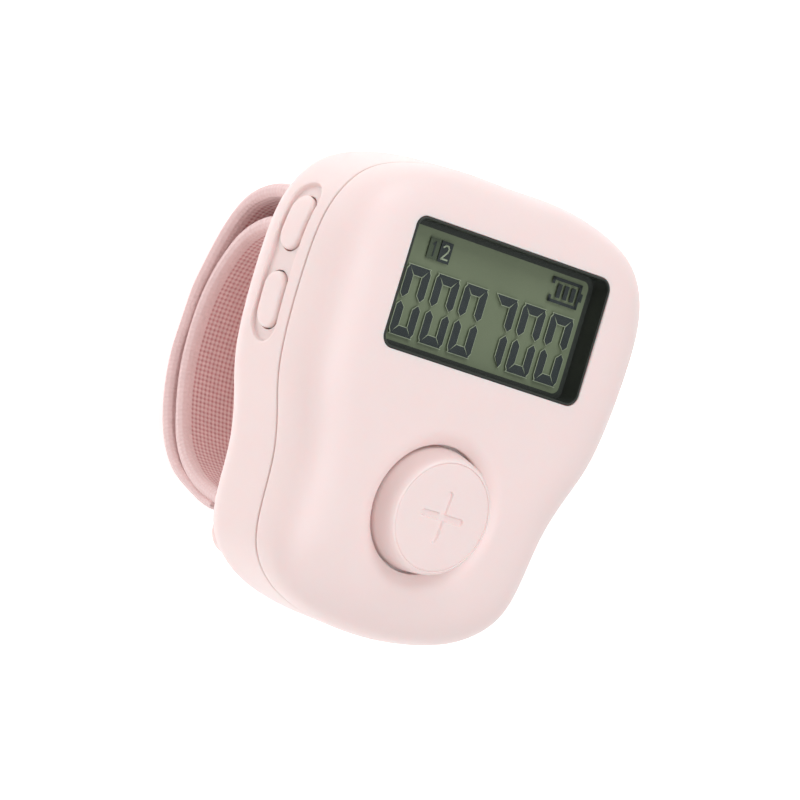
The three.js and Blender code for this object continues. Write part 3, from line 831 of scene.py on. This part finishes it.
@dataclass
class ThumbButton:
    """The large counting button: a flared cap with a fine ring and an engraved plus sign."""

    form: CaseForm
    datum: Datum
    finishes: Finishes
    profile: tuple = (
        (0.4, -1.2), (4.3, -1.2), (4.4, -1.3), (4.4, -4.05), (6.6, -4.05), (6.6, -3.35), (5.62, -3.35),
        (5.6, -3.2),
        (5.6, -2.6), (5.57, -2.2), (5.5, -1.7), (5.43, -1.2), (5.36, -0.8), (5.29, -0.5), (5.2, -0.27),
        (5.08, -0.11), (4.97, -0.03), (4.9, -0.01), (4.87, -0.03), (4.855, -0.1), (4.83, -0.115),
        (4.805, -0.1),
        (4.79, -0.055), (4.75, -0.045), (4.5, -0.04), (3.5, -0.03), (2.4, -0.02), (1.2, -0.012), (0.3, -0.01),
    )
    plus_reach: float = 2.35
    plus_width: float = 0.64
    plus_depth: float = 0.22

    def place(self, flat: np.ndarray) -> np.ndarray:
        """Put points of the button's own frame on the case."""
        return tilted(flat, self.form.thumb_tilt, (0, self.form.thumb_y, self.form.thumb_z))

    def plus_tool(self, upright: bool) -> bpy.types.Object:
        """One bar of the plus sign's cutter, with drafted sides."""
        rings = []
        for height, grow in ((-self.plus_depth, -0.08), (-0.08, 0.0), (0.0, 0.05), (0.6, 0.2)):
            flat = stadium(2 * (self.plus_reach + grow), self.plus_width + 2 * grow, 10)
            flat = flat[:, ::-1] * [-1, 1] if upright else flat
            rings.append(self.place(level(flat, height)))
        return wrap("plus_tool", rings, self.datum)

    def build(self) -> None:
        """Model and dress the button."""
        rings = [self.place(level(circle(radius, 180), height)) for radius, height in self.profile]
        cap = wrap("thumb_button_cap", rings, self.datum)
        for upright in (False, True):
            cut(cap, self.plus_tool(upright))
        smooth(cap)
        set_piece(cap, Body.THUMB, "button_plastic", self.finishes.cap, "thumb_button")


# ---------------------------------------------------------------- the display


class Segment(Enum):
    """The seven bars of a digit, as the side they stand on and whether they lie flat."""

    TOP = (0, 1, True)
    UPPER_LEFT = (-1, 1, False)
    UPPER_RIGHT = (1, 1, False)
    MIDDLE = (0, 0, True)
    LOWER_LEFT = (-1, -1, False)
    LOWER_RIGHT = (1, -1, False)
    BOTTOM = (0, -1, True)


ZERO = tuple(segment for segment in Segment if segment is not Segment.MIDDLE)
SEVEN = (Segment.TOP, Segment.UPPER_RIGHT, Segment.LOWER_RIGHT)


@dataclass
class Display:
    """The lens, the black bezel, and the liquid-crystal panel with its digits and symbols."""

    form: CaseForm
    datum: Datum
    finishes: Finishes
    window: tuple[float, float, float] = (22.44, 11.71, 1.15)
    bezel_gap: float = 0.06
    bezel_wall: float = 0.2
    ink_depth: float = 1.95
    film_depth: float = 2.2
    digit_width: float = 2.62
    digit_height: float = 6.15
    digit_middle: float = -1.46
    bar: float = 0.8
    mitre_gap: float = 0.085
    digit_lefts: tuple[float, ...] = (-9.4, -6.08, -2.82, 0.66, 3.93, 7.2)

    def place(self, flat: np.ndarray) -> np.ndarray:
        """Put points of the display's own frame on the case."""
        return tilted(flat, self.form.window_tilt, (0, self.form.window_y, self.form.window_z))

    def slab(
        self, name: str, outline: np.ndarray, bottom: float, top: float, edge: float = 0.0
    ) -> bpy.types.Object:
        """A thin plate of a flat outline, its top edge drawn in by a little where edge is given."""
        middle = outline.mean(axis=0)
        size = np.abs(outline - middle).max()
        shrink = 1 - edge / size
        rings = [level(outline, bottom), level(outline, top - edge),
            level(middle + (outline - middle) * shrink, top)]
        return wrap(name,
            [self.place(ring) for ring in (rings if edge else [rings[0], level(outline, top)])], self.datum)

    def build_glass(self) -> None:
        """Model the lens and the black bezel round it."""
        width, length, corner = self.window
        grow = -self.bezel_gap - self.bezel_wall - 0.03
        plate = rounded_rectangle(width + 2 * grow, length + 2 * grow, corner + grow)
        lens = self.slab("display_lens_plate", plate, -1.15, -0.12, 0.08)
        smooth(lens)
        set_piece(lens, Body.CASE, "lens_clear", self.finishes.lens, "display_lens")

        rings = []
        steps = ((0.0, -2.6), (0.0, -0.12), (0.05, -0.07), (self.bezel_wall - 0.05, -0.07),
            (self.bezel_wall, -0.12),
                 (self.bezel_wall, -self.film_depth), (1.4, -self.film_depth - 0.05), (1.4, -2.6))
        for inset, height in steps:
            inset += self.bezel_gap
            flat = rounded_rectangle(width - 2 * inset, length - 2 * inset, max(corner - inset, 0.35))
            rings.append(self.place(level(flat, height)))
        bezel = wrap("display_bezel_frame", rings, self.datum, Ends.JOINED)
        smooth(bezel)
        set_piece(bezel, Body.CASE, "bezel_black", self.finishes.bezel, "display_bezel")

    def bar_outline(self, segment: Segment, left: float, grow: float) -> np.ndarray:
        """The outline of one digit bar: mitred at its corners, pointed at the digit's waist."""
        half_width, half_height = self.digit_width / 2, self.digit_height / 2
        side, end, flat = segment.value
        bar, gap = self.bar + grow, self.mitre_gap - grow
        if flat:
            outer, inner = half_width - gap - 0.04 + grow, half_width - bar - gap
            shape = [(-outer, half_height + grow), (outer, half_height + grow),
                     (inner, half_height - bar), (-inner, half_height - bar)]
            shape = [(x, y * (end or 1)) for x, y in shape]
        else:
            x0, x1 = half_width + grow, half_width - bar
            top, low = half_height - gap, gap + 0.1
            shape = [(x1, top - bar), (x1, low + bar * 0.55), ((x0 + x1) / 2 + 0.06, low),
                (x0, low + bar * 0.45),
                     (x0, top - 0.35), (x0 - 0.22, top - 0.02)]
            shape = [(x * side, y * end) for x, y in shape]
        points = np.array(shape)
        area = np.sum(points[:, 0] * np.roll(points[:, 1], -1) - np.roll(points[:, 0], -1) * points[:, 1])
        points = points if area > 0 else points[::-1]
        return points + [left + half_width, self.digit_middle]

    def build_digits(self) -> list[tuple[bpy.types.Object, bpy.types.Object]]:
        """Model every digit as dark bars on slightly larger pale ones."""
        made = []
        top = -self.ink_depth
        for number, left in enumerate(self.digit_lefts):
            for segment in SEVEN if number == 3 else ZERO:
                dark = self.slab("bar", self.bar_outline(segment, left, 0.0), top - 0.04, top)
                pale = self.slab("bar_edge", self.bar_outline(segment, left, 0.06), top - 0.06, top - 0.03)
                made.append((dark, pale))
        return made

    def symbol_bars(self) -> tuple[list[np.ndarray], list[np.ndarray]]:
        """Outlines of the battery and channel symbols, dark ones and the faint one."""

        def box(x0: float, y0: float, x1: float, y1: float) -> np.ndarray:
            """A plain rectangle's points."""
            return np.array([(x0, y0), (x1, y0), (x1, y1), (x0, y1)])

        left, right, low, high, line = 6.2, 9.6, 2.45, 4.7, 0.27
        dark = [box(left, high - line, right, high), box(left, low, right, low + line),
                box(right - line, low, right, high), box(right + 0.02, 3.2, right + 0.28, 3.95)]
        dark += [box(left, y, left + line, y + 0.62) for y in (low, high - 0.62)]
        dark += [box(x, low + 0.5, x + 0.46, high - 0.5) for x in (6.95, 7.75, 8.55)]
        channel = box(-6.62, 2.55, -5.35, 4.4)
        faint = box(-7.85, 2.55, -6.7, 4.4)
        return [*dark, channel], [faint]

    def numeral(self, outline: Sequence[tuple[float, float]], x: float, y: float) -> list[np.ndarray]:
        """Thin strokes of a small numeral, as boxes along its lines."""
        strokes = []
        half = 0.07
        for (x0, y0), (x1, y1) in zip(outline, outline[1:]):
            along = np.array([x1 - x0, y1 - y0])
            along = along / np.linalg.norm(along) * half
            across = np.array([-along[1], along[0]])
            start, end = np.array([x0 + x, y0 + y]) - along, np.array([x1 + x, y1 + y]) + along
            strokes.append(np.array([start - across, end - across, end + across, start + across]))
        return strokes

    def build(self) -> None:
        """Model and dress the whole display."""
        self.build_glass()
        width, length, _ = self.window
        film = self.slab(
            "lcd_reflector_film", rounded_rectangle(width - 0.1, length + 0.1, 0.3),
            -self.film_depth - 1.2, -self.film_depth - 0.02, 0.05)
        smooth(film)
        set_piece(film, Body.CASE, "lcd_glass", self.finishes.reflector, "lcd_panel")

        digits = self.build_digits()
        top = -self.ink_depth
        dark_shapes, faint_shapes = self.symbol_bars()
        dark = [pair[0] for pair in digits] + [
            self.slab("mark", shape, top - 0.04, top) for shape in dark_shapes]
        two = [(-0.32, 0.42), (-0.1, 0.6), (0.15, 0.58), (0.3, 0.35), (0.22, 0.05), (-0.32, -0.6),
            (0.34, -0.6)]
        one = [(-0.15, 0.4), (0.05, 0.6), (0.05, -0.6)]
        ghost = [self.slab("mark", shape, top - 0.06, top - 0.04) for shape in faint_shapes]
        pale = [pair[1] for pair in digits]
        pale += [self.slab("stroke", shape, top, top + 0.03) for shape in self.numeral(two, -5.98, 3.47)]
        dark += [self.slab("stroke", shape, top - 0.03, top) for shape in self.numeral(one, -7.3, 3.47)]
        for name, pieces, finish in (
            ("lcd_dark_segments", dark, self.finishes.segment),
            ("lcd_segment_edges", pale, self.finishes.segment_edge),
            ("lcd_faint_mark", ghost, self.finishes.ghost),
        ):
            set_piece(join_pieces(name, pieces), Body.CASE, "lcd_glass", finish)


# ---------------------------------------------------------------- the back of the case


@dataclass
class BackFittings:
    """The battery door, the case screws, and the brackets and pins that hold the strap."""

    form: CaseForm
    datum: Datum
    finishes: Finishes
    door_radius: float = 7.75
    screws: tuple = ((12.5, 0.5), (-12.5, 0.5), (9.5, -15.5), (-9.5, -15.5))
    screw_head: float = 1.5
    screw_top: float = -5.2
    screw_bore: float = 1.0
    post_radius: float = 2.3
    post_top: float = -3.6
    pins: tuple = (("top", 12.7), ("bottom", -12.1))
    pin_z: float = -12.2
    pin_radius: float = 0.75
    pin_reach: float = 7.4
    bracket_reach: float = 7.7
    bracket_inner: float = 6.9
    bracket_half: float = 1.4

    def upright(
        self, name: str, profile: Sequence, x: float = 0.0, y: float = 0.0, steps: int = 96
    ) -> bpy.types.Object:
        """A turned piece about an upright line, from radius and height pairs."""
        rings = [level(circle(radius, steps) + [x, y], height) for radius, height in profile]
        return wrap(name, rings, self.datum)

    def slab(self, name: str, outline: np.ndarray, bottom: float, top: float) -> bpy.types.Object:
        """A plate of a flat outline between two heights."""
        return wrap(name, [level(outline, bottom), level(outline, top)], self.datum)

    def back_tools(self) -> list[Callable[[], bpy.types.Object]]:
        """Functions that make the cutters for the door, the screws and the bracket plates."""
        back = -self.form.depth
        rim = self.door_radius + 0.1
        tools: list[Callable[[], bpy.types.Object]] = [lambda: self.upright(
            "door_tool",
            ((rim + 0.6, back - 0.5), (rim + 0.1, back - 0.01), (rim, back + 0.1), (rim, back + 0.55),
            (6.7, back + 0.55), (6.7, -6.5)))]
        hole = self.screw_head + 0.15
        for x, y in self.screws:
            profile = (
                (hole + 0.6, back - 0.5), (hole + 0.12, back - 0.01), (hole, back + 0.1),
                (hole, self.screw_top + 0.1),
                (self.screw_bore, self.screw_top + 0.11), (self.screw_bore, self.post_top + 0.5))
            tools.append(lambda x=x, y=y, profile=profile: self.upright("screw_tool", profile, x, y, 48))
        for _, y in self.pins:
            flat = rounded_rectangle(2 * self.bracket_reach + 0.2, 2 * self.bracket_half + 0.2, 0.35, 5)
            tools.append(
                lambda flat=flat, y=y: self.slab("pocket_tool", flat + [0, y], back - 1, back + 0.65))
        return tools

    def back_posts(self) -> list[Callable[[], bpy.types.Object]]:
        """Functions that make the posts that the screws pass through, inside the rear shell."""
        profile = ((self.post_radius, 0.6 - self.form.depth), (self.post_radius, self.post_top))
        return [lambda x=x, y=y: self.upright("post", profile, x, y, 48) for x, y in self.screws]

    def build_door(self) -> None:
        """Model the twist-off door with its coin slot and grip notches."""
        back = -self.form.depth
        radius = self.door_radius
        door = self.upright("battery_door_disc", (
            (0.4, -7.4), (6.45, -7.4), (6.55, -7.5), (6.55, back + 0.48), (radius, back + 0.48),
            (radius, back + 0.2),
            (radius - 0.05, back + 0.08), (radius - 0.16, back + 0.01), (radius - 0.3, back),
            (radius - 1.1, back),
            (radius - 1.15, back + 0.06), (radius - 1.25, back + 0.06), (radius - 1.3, back), (3.0, back),
            (0.3, back)), steps=144)
        rings = []
        for height, grow in ((back - 0.5, 0.3), (back, 0.06), (back + 0.08, 0.0), (back + 0.75, -0.05)):
            rings.append(level(stadium(9 + 2 * grow, 1.5 + 2 * grow, 14), height))
        cut(door, wrap("coin_slot_tool", rings, self.datum))
        smooth(door)
        set_piece(door, Body.DOOR, "shell_plastic", self.finishes.cap, "battery_door")

    def build_screws(self) -> None:
        """Model the screws: a domed head with a cross recess, on a threaded-looking shank."""
        head, top = self.screw_head, self.screw_top
        low = top - 0.9
        threads = [(0.8 - 0.14 * (i % 2), top + 0.15 * i) for i in range(1, 50)]
        profile = [(0.2, low - 0.02), (0.7, low), (1.15, low + 0.07), (1.4, low + 0.2), (head, low + 0.42),
            (head, top - 0.05),
                   (head - 0.08, top), (0.82, top), *threads, (0.3, top + 7.7)]
        for number, (x, y) in enumerate(self.screws, start=1):
            screw = self.upright(f"case_screw_{number}_body", profile, x, y, 40)
            for length, width in ((1.75, 0.42), (0.42, 1.75)):
                flat = rounded_rectangle(length, width, 0.08, 3) + [x, y]
                taper = (flat - [x, y]) * 0.75 + [x, y]
                cut(screw, wrap(
                    "cross_tool", [level(flat, low - 0.3), level(flat, low), level(taper, low + 0.5)],
                    self.datum))
            smooth(screw)
            set_piece(screw, Body.CASE, "screw_steel", self.finishes.zinc, f"case_screw_{number}")

    def build_brackets(self) -> None:
        """Model each bracket's plate and ears, and the pin through them."""
        back = -self.form.depth
        for name, y in self.pins:
            flat = rounded_rectangle(2 * self.bracket_reach, 2 * self.bracket_half, 0.3, 6)
            bracket = self.slab(f"strap_bracket_{name}_body", flat + [0, y], back - 0.07, back + 0.53)
            angles = np.linspace(0, -math.pi, 17)
            tip = np.stack(
                [self.bracket_half * np.cos(angles), self.pin_z + self.bracket_half * np.sin(angles)], axis=1)
            side = np.vstack([[(self.bracket_half, back + 0.3)], tip, [(-self.bracket_half, back + 0.3)]])
            for sign in (-1, 1):
                ends = (sign * self.bracket_inner, sign * self.bracket_reach)
                rings = [np.column_stack([np.full(len(side), x), side[:, 0] + y, side[:, 1]]) for x in ends]
                cut(bracket, wrap("ear", rings, self.datum), "UNION")
            bevel(bracket, 0.22, 3, 50)
            cut(bracket, self.pin_body("pin_hole", y, self.pin_radius + 0.1, 12.0))
            smooth(bracket)
            set_piece(bracket, Body.CASE, "shell_plastic", self.finishes.shell, f"strap_bracket_{name}")
            pin = self.pin_body(f"strap_pin_{name}_rod", y, self.pin_radius, self.pin_reach)
            smooth(pin)
            set_piece(pin, Body.CASE, "screw_steel", self.finishes.zinc, f"strap_pin_{name}")

    def pin_body(self, name: str, y: float, radius: float, reach: float) -> bpy.types.Object:
        """A rod along X with chamfered, slightly domed ends."""
        half = [(radius * 0.3, reach), (radius * 0.8, reach - 0.04), (radius, reach - 0.2),
            (radius, reach * 0.5)]
        rings = []
        for size, x in [*[(size, -x) for size, x in half], *reversed(half)]:
            flat = circle(size, 40)
            rings.append(np.column_stack([np.full(40, x), y + flat[:, 0], self.pin_z + flat[:, 1]]))
        return wrap(name, rings, self.datum)

    def build(self) -> None:
        """Model and dress everything on the back."""
        self.build_door()
        self.build_screws()
        self.build_brackets()


# ---------------------------------------------------------------- the finger strap


@dataclass
class FingerStrap:
    """The folded webbing band: its inner layer with both pin loops, and its outer layer and tail."""

    form: CaseForm
    datum: Datum
    finishes: Finishes
    width: float = 13.0
    thickness: float = 1.3
    border: float = 0.95
    thread: float = 0.44  # the weave's pitch, the same as in the webbing's finish
    back_steps: int = 24  # steps across the plain face
    edge_round: float = 0.55
    thin_from: float = 0.72  # share of the length where a layer begins to thin
    thin_over: float = 0.28
    tip_round: float = 0.5
    panel_blend: float = 0.25  # how softly the weave gives way to the border
    pins: tuple = ((12.7, -12.2), (-12.1, -12.2))
    loop: float = 1.6
    tail_start: float = -4.5
    bend_before: float = 2.4
    bend_after: float = 3.4
    inner_line: tuple = (
        (-13.7, -12.2), (-13.65, -16.8), (-13.2, -20.0), (-12.2, -22.6), (-10.2, -25.2), (-7.0, -27.2),
        (-3.6, -28.45),
        (0, -28.95), (3.6, -28.7), (6.8, -27.6), (9.3, -25.9), (10.8, -23.6), (11.3, -20.5), (11.1, -12.2),
    )
    outer_line: tuple = (
        (14.3, -12.2), (14.3, -20.9), (13.95, -23.9), (12.95, -26.25), (11.1, -28.05), (8.1, -29.4),
        (4.8, -30.3),
        (3.0, -30.62), (0.5, -30.65), (-2.0, -30.65), (-4.4, -30.25), (-7.0, -29.35), (-9.3, -28.1),
        (-11.15, -26.5),
        (-12.5, -24.65), (-13.4, -22.4), (-14.25, -19.4), (-14.5, -17.5),
    )

    def arc(self, pin: int, start: float, end: float) -> list[tuple[float, float]]:
        """Points round a strap pin between two angles in degrees, from the +Y side."""
        y, z = self.pins[pin]
        angles = np.radians(np.linspace(start, end, 5))
        return [(y + self.loop * math.cos(a), z + self.loop * math.sin(a)) for a in angles]

    def section(self, thick: np.ndarray, face_steps: int) -> tuple[np.ndarray, np.ndarray]:
        """The band's section: places across and through it, for each thickness along it.

        Args:
            thick: the band's thickness at each step along it.
            face_steps: how many steps across the woven face.

        Returns:
            Places across the band, and places through it from -1 to 1 times half the thickness.
        """
        half = self.width / 2
        soft = self.edge_round
        face = np.linspace(half - soft, soft - half, face_steps)
        arc = np.linspace(0, math.pi, 9)[1:-1]
        back = -face[:: max(face_steps // self.back_steps, 1)]
        bulge = soft * np.sin(arc)
        across = np.concatenate([face, soft - half - bulge, back, half - soft + bulge])
        through = np.concatenate([np.ones(face_steps), np.cos(arc), -np.ones(len(back)), -np.cos(arc)])
        return across, np.outer(thick / 2, through)

    def band(
        self, name: str, line: Sequence, steps: int, thin_end: float, face_steps: int, relief: float
    ) -> bpy.types.Object:
        """Sweep the section along a line of the Y-Z plane.

        Args:
            name: the new object's name.
            line: the line's points, as places along the case and heights.
            steps: how many steps along it.
            thin_end: the thickness at its far end.
            face_steps: how many steps across the face.
            relief: how deep the weave's hollows are on the left-hand face, in millimetres.

        Returns:
            The band, with a panel attribute that is 1 on its woven face.
        """
        places, along = spline(line, steps)
        reach = np.linspace(0, 1, steps)
        thick = self.thickness + (thin_end - self.thickness) * smooth_step(
            (reach - self.thin_from) / self.thin_over)
        across, through = self.section(thick, face_steps)
        panel = smooth_step((self.width / 2 - self.border - np.abs(across)) / self.panel_blend)
        panel[face_steps:] = 0
        length = np.linalg.norm(np.diff(places, axis=0), axis=1).sum()
        left = np.stack([-along[:, 1], along[:, 0]], axis=1)
        rings = []
        for i in range(steps):
            far = reach[i] * length
            weave = (
                np.cos(2 * math.pi * (across[0] - across) / self.thread)
                + math.cos(2 * math.pi * far / self.thread)
            )
            sunk = relief * panel * (2 - weave) / 4
            end_round = np.sqrt(
                np.clip(1 - np.clip(1 - min(far, length - far) / self.tip_round, 0, 1) ** 2, 0.02, 1))
            offset = (through[i] - sunk) * end_round
            rings.append(np.column_stack(
                [across, places[i, 0] + left[i, 0] * offset, places[i, 1] + left[i, 1] * offset]))
        band = wrap(name, rings, self.datum)
        self.lay_map(band, across, through[0], length)
        self.mark_panel(band)
        return band

    def lay_map(self, band: bpy.types.Object, across: np.ndarray, through: np.ndarray, length: float) -> None:
        """Stretch the band's map so that one unit is one millimetre round and along it.

        Args:
            band: the swept band.
            across: places across the band for each column of its grid.
            through: places through it for each column.
            length: its length, in millimetres.
        """
        columns = len(across)
        ring = np.column_stack([across, through])
        steps = np.linalg.norm(np.diff(np.vstack([ring, ring[:1]]), axis=0), axis=1)
        reach = np.concatenate([[0], np.cumsum(steps)])
        layer = band.data.uv_layers.active.data
        flat = np.zeros(len(layer) * 2)
        layer.foreach_get("uv", flat)
        flat = flat.reshape(-1, 2)
        flat[:, 0] = np.interp(flat[:, 0] * columns, np.arange(columns + 1), reach)
        flat[:, 1] *= length
        layer.foreach_set("uv", flat.ravel())

    def mark_panel(self, band: bpy.types.Object) -> None:
        """Store how much each point belongs to the woven panel, away from the smooth borders."""
        count = len(band.data.vertices)
        co = np.zeros(count * 3)
        band.data.vertices.foreach_get("co", co)
        x = co.reshape(-1, 3)[:, 0] / MM
        panel = smooth_step((self.width / 2 - self.border - np.abs(x)) / 0.3)
        band.data.attributes.new("panel", "FLOAT", "POINT").data.foreach_set("value",
            panel.astype(np.float32))

    def build_patch(self) -> None:
        """Model the hook tape under the tail as a studded strip."""
        line = self.outer_line[-7:-2]
        places, along = spline(line, 60)
        left = np.stack([-along[:, 1], along[:, 0]], axis=1)
        across = np.linspace(-5.4, 5.4, 100)
        inner, outer = 0.62, 0.42
        rings = []
        for i in range(60):
            studs = 0.09 * np.clip(np.cos(across * 2 * math.pi / 0.6) * math.cos(i * 2 * math.pi / 5), 0, 1)
            low = np.column_stack([across, places[i] - np.outer(np.full(100, outer), -left[i])])
            high = np.column_stack([across, places[i] + np.outer(inner + studs, left[i])])
            rings.append(np.vstack([low, high[::-1]]))
        patch = wrap("strap_hook_tape", rings, self.datum)
        smooth(patch)
        set_piece(patch, Body.TAIL, "hook_tape", self.finishes.hook, "strap_hook_patch")

    def build(self) -> None:
        """Model and dress the strap."""
        sewn = [(-12.35, -16.9), (-11.6, -15.6), (-10.75, -14.0)]
        inner = [*sewn, *self.arc(1, 0, 180), *self.inner_line[1:-1], *self.arc(0, 180, 90)]
        band = self.band("strap_inner_layer", inner, 564, self.thickness, 109, 0.06)
        smooth(band, math.radians(60))
        set_piece(band, Body.CASE, "strap_webbing", self.finishes.webbing, "strap_band")
        outer = [*self.arc(0, 88, 0), *self.outer_line[1:]]
        tail = self.band("strap_outer_layer", outer, 482, 0.75, 109, 0.05)
        smooth(tail, math.radians(60))
        check_closed(tail)
        tail.data.materials.clear()
        tail.data.materials.append(self.finishes.webbing)
        start = self.datum.place([[0, self.tail_start + self.bend_before, -30.65]])[0]
        end = self.datum.place([[0, self.tail_start - self.bend_after, -29.3]])[0]
        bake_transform(tail)
        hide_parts("strap_tail")
        self.build_patch()
        self.declare(inner)
        self.declare(outer)

    def declare(self, line: Sequence) -> None:
        """Draw a layer's line at 400 places along it; nothing is kept."""
        places, _ = spline(line, 400)


# ---------------------------------------------------------------- what is inside


@dataclass
class Inside:
    """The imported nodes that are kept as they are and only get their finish."""

    finishes: Finishes

    def build(self) -> None:
        """Dress the electronics, the switches and the cell."""
        finishes = self.finishes
        dressed = {
            "zebra_strip": finishes.silicone,
            "circuit_board": finishes.board,
            "controller_chip": finishes.epoxy,
            "thumb_switch_housing": finishes.nylon,
            "thumb_switch_plunger": finishes.nylon,
            "side_switch_housing_upper": finishes.nylon,
            "side_switch_housing_lower": finishes.nylon,
            "side_switch_plunger_upper": finishes.nylon,
            "side_switch_plunger_lower": finishes.nylon,
            "coin_cell": finishes.plate,
            "battery_contact_negative": finishes.spring,
            "battery_contact_positive": finishes.spring,
        }
        for node, finish in dressed.items():
            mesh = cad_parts[node].data
            mesh.materials.clear()
            mesh.materials.append(finish)
            LOG.info("%s: kept, in %s", node, finish.name)


# ---------------------------------------------------------------- the studio


@dataclass
class Studio:
    """The floor, the soft lights and the camera."""

    datum: Datum
    yaw: float = math.radians(37.65)
    pitch: float = math.radians(0.50)
    roll: float = math.radians(18.33)
    distance: float = 464.0
    lens: float = 240.1
    shift: tuple[float, float] = (-0.0381, 0.0090)
    floor_size: float = 4.0

    def axes(self) -> np.ndarray:
        """The camera's right, up and back directions as rows."""
        cy, sy = math.cos(self.yaw), math.sin(self.yaw)
        cp, sp = math.cos(self.pitch), math.sin(self.pitch)
        cr, sr = math.cos(self.roll), math.sin(self.roll)
        turn = np.array([[cy, 0, sy], [0, 1, 0], [-sy, 0, cy]])
        nod = np.array([[1, 0, 0], [0, cp, -sp], [0, sp, cp]])
        lean = np.array([[cr, sr, 0], [-sr, cr, 0], [0, 0, 1]])
        return lean @ nod @ turn

    def build_camera(self) -> None:
        """Place the camera square to the counter's tilt, a little to its left."""
        right, up, back = self.axes()
        middle = self.datum.place([[0, 0, 0]])[0]
        data = bpy.data.cameras.new("camera")
        data.lens, data.sensor_width = self.lens, 36.0
        data.shift_x, data.shift_y = self.shift
        data.clip_start, data.clip_end = 0.01, 10.0
        camera = bpy.data.objects.new("camera", data)
        turn = Matrix([right, up, back]).transposed().to_4x4()
        camera.matrix_world = Matrix.Translation(Vector(middle + back * self.distance * MM)) @ turn
        bpy.context.scene.collection.objects.link(camera)
        bpy.context.scene.camera = camera

    def add_light(
        self, name: str, aim: Sequence[float], reach: float, size: float, power: float, colour: str
    ) -> None:
        """Hang a square soft light.

        Args:
            name: the light's name.
            aim: how far to the camera's right, up and towards it the light stands.
            reach: its distance from the counter, in metres.
            size: its side, in metres.
            power: its power, in watts.
            colour: its colour.
        """
        right, up, back = self.axes()
        way = right * aim[0] + up * aim[1] + back * aim[2]
        way = way / np.linalg.norm(way)
        middle = self.datum.place([[0, 0, 0]])[0]
        data = bpy.data.lights.new(name, "AREA")
        data.shape, data.size, data.energy, data.color = "SQUARE", size, power, linear(colour)[:3]
        light = bpy.data.objects.new(name, data)
        light.location = Vector(middle + way * reach)
        light.rotation_mode = "QUATERNION"
        light.rotation_quaternion = Vector(way).to_track_quat("Z", "Y")
        bpy.context.scene.collection.objects.link(light)

    def build(self) -> None:
        """Lay the floor, hang the lights and set the camera."""
        clear_selection()
        bpy.ops.mesh.primitive_plane_add(size=self.floor_size, location=(0, 0, -0.0002))
        floor = bpy.context.object
        floor.name = "floor"
        paper = Finish("white_paper", "#fbfbfb", "#fdfdfd", 0.9, patch=80,
            extra={"Emission Color": (1, 1, 1, 1), "Emission Strength": 0.5})
        floor.data.materials.append(paper.material())
        self.build_camera()
        self.add_light("key", (0.75, 0.9, 0.75), 0.5, 0.32, 1.1, "#f4fbff")
        self.add_light("face", (0.5, -0.3, 1.0), 0.55, 0.4, 1.62, "#f4fbff")
        self.add_light("fill", (-0.9, 0.2, 1.0), 0.6, 0.5, 0.16, "#ffe0d9")
        self.add_light("under", (0.1, -1.0, 0.5), 0.5, 0.4, 0.42, "#f8fcff")
        world = bpy.data.worlds.new("studio")
        world.use_nodes = True
        world.node_tree.nodes["Background"].inputs["Color"].default_value = linear("#fffdfc")
        world.node_tree.nodes["Background"].inputs["Strength"].default_value = 0.33
        scene = bpy.context.scene
        scene.world = world
        scene.view_settings.view_transform = "Standard"


def main() -> None:
    """Build every piece in order."""
    logging.basicConfig(level=logging.INFO, format="%(message)s")
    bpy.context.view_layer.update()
    form = CaseForm()
    datum = Datum.from_frame(form.edge(400)[0])
    finishes = Finishes()
    Studio(datum).build()
    Inside(finishes).build()
    FrontShell(form, datum, finishes).build()
    fittings = BackFittings(form, datum, finishes)
    RearShell(form, datum, finishes).build(fittings.back_posts(), fittings.back_tools())
    fittings.build()
    ThumbButton(form, datum, finishes).build()
    Display(form, datum, finishes).build()
    FingerStrap(form, datum, finishes).build()


if __name__ == "__main__":
    main()
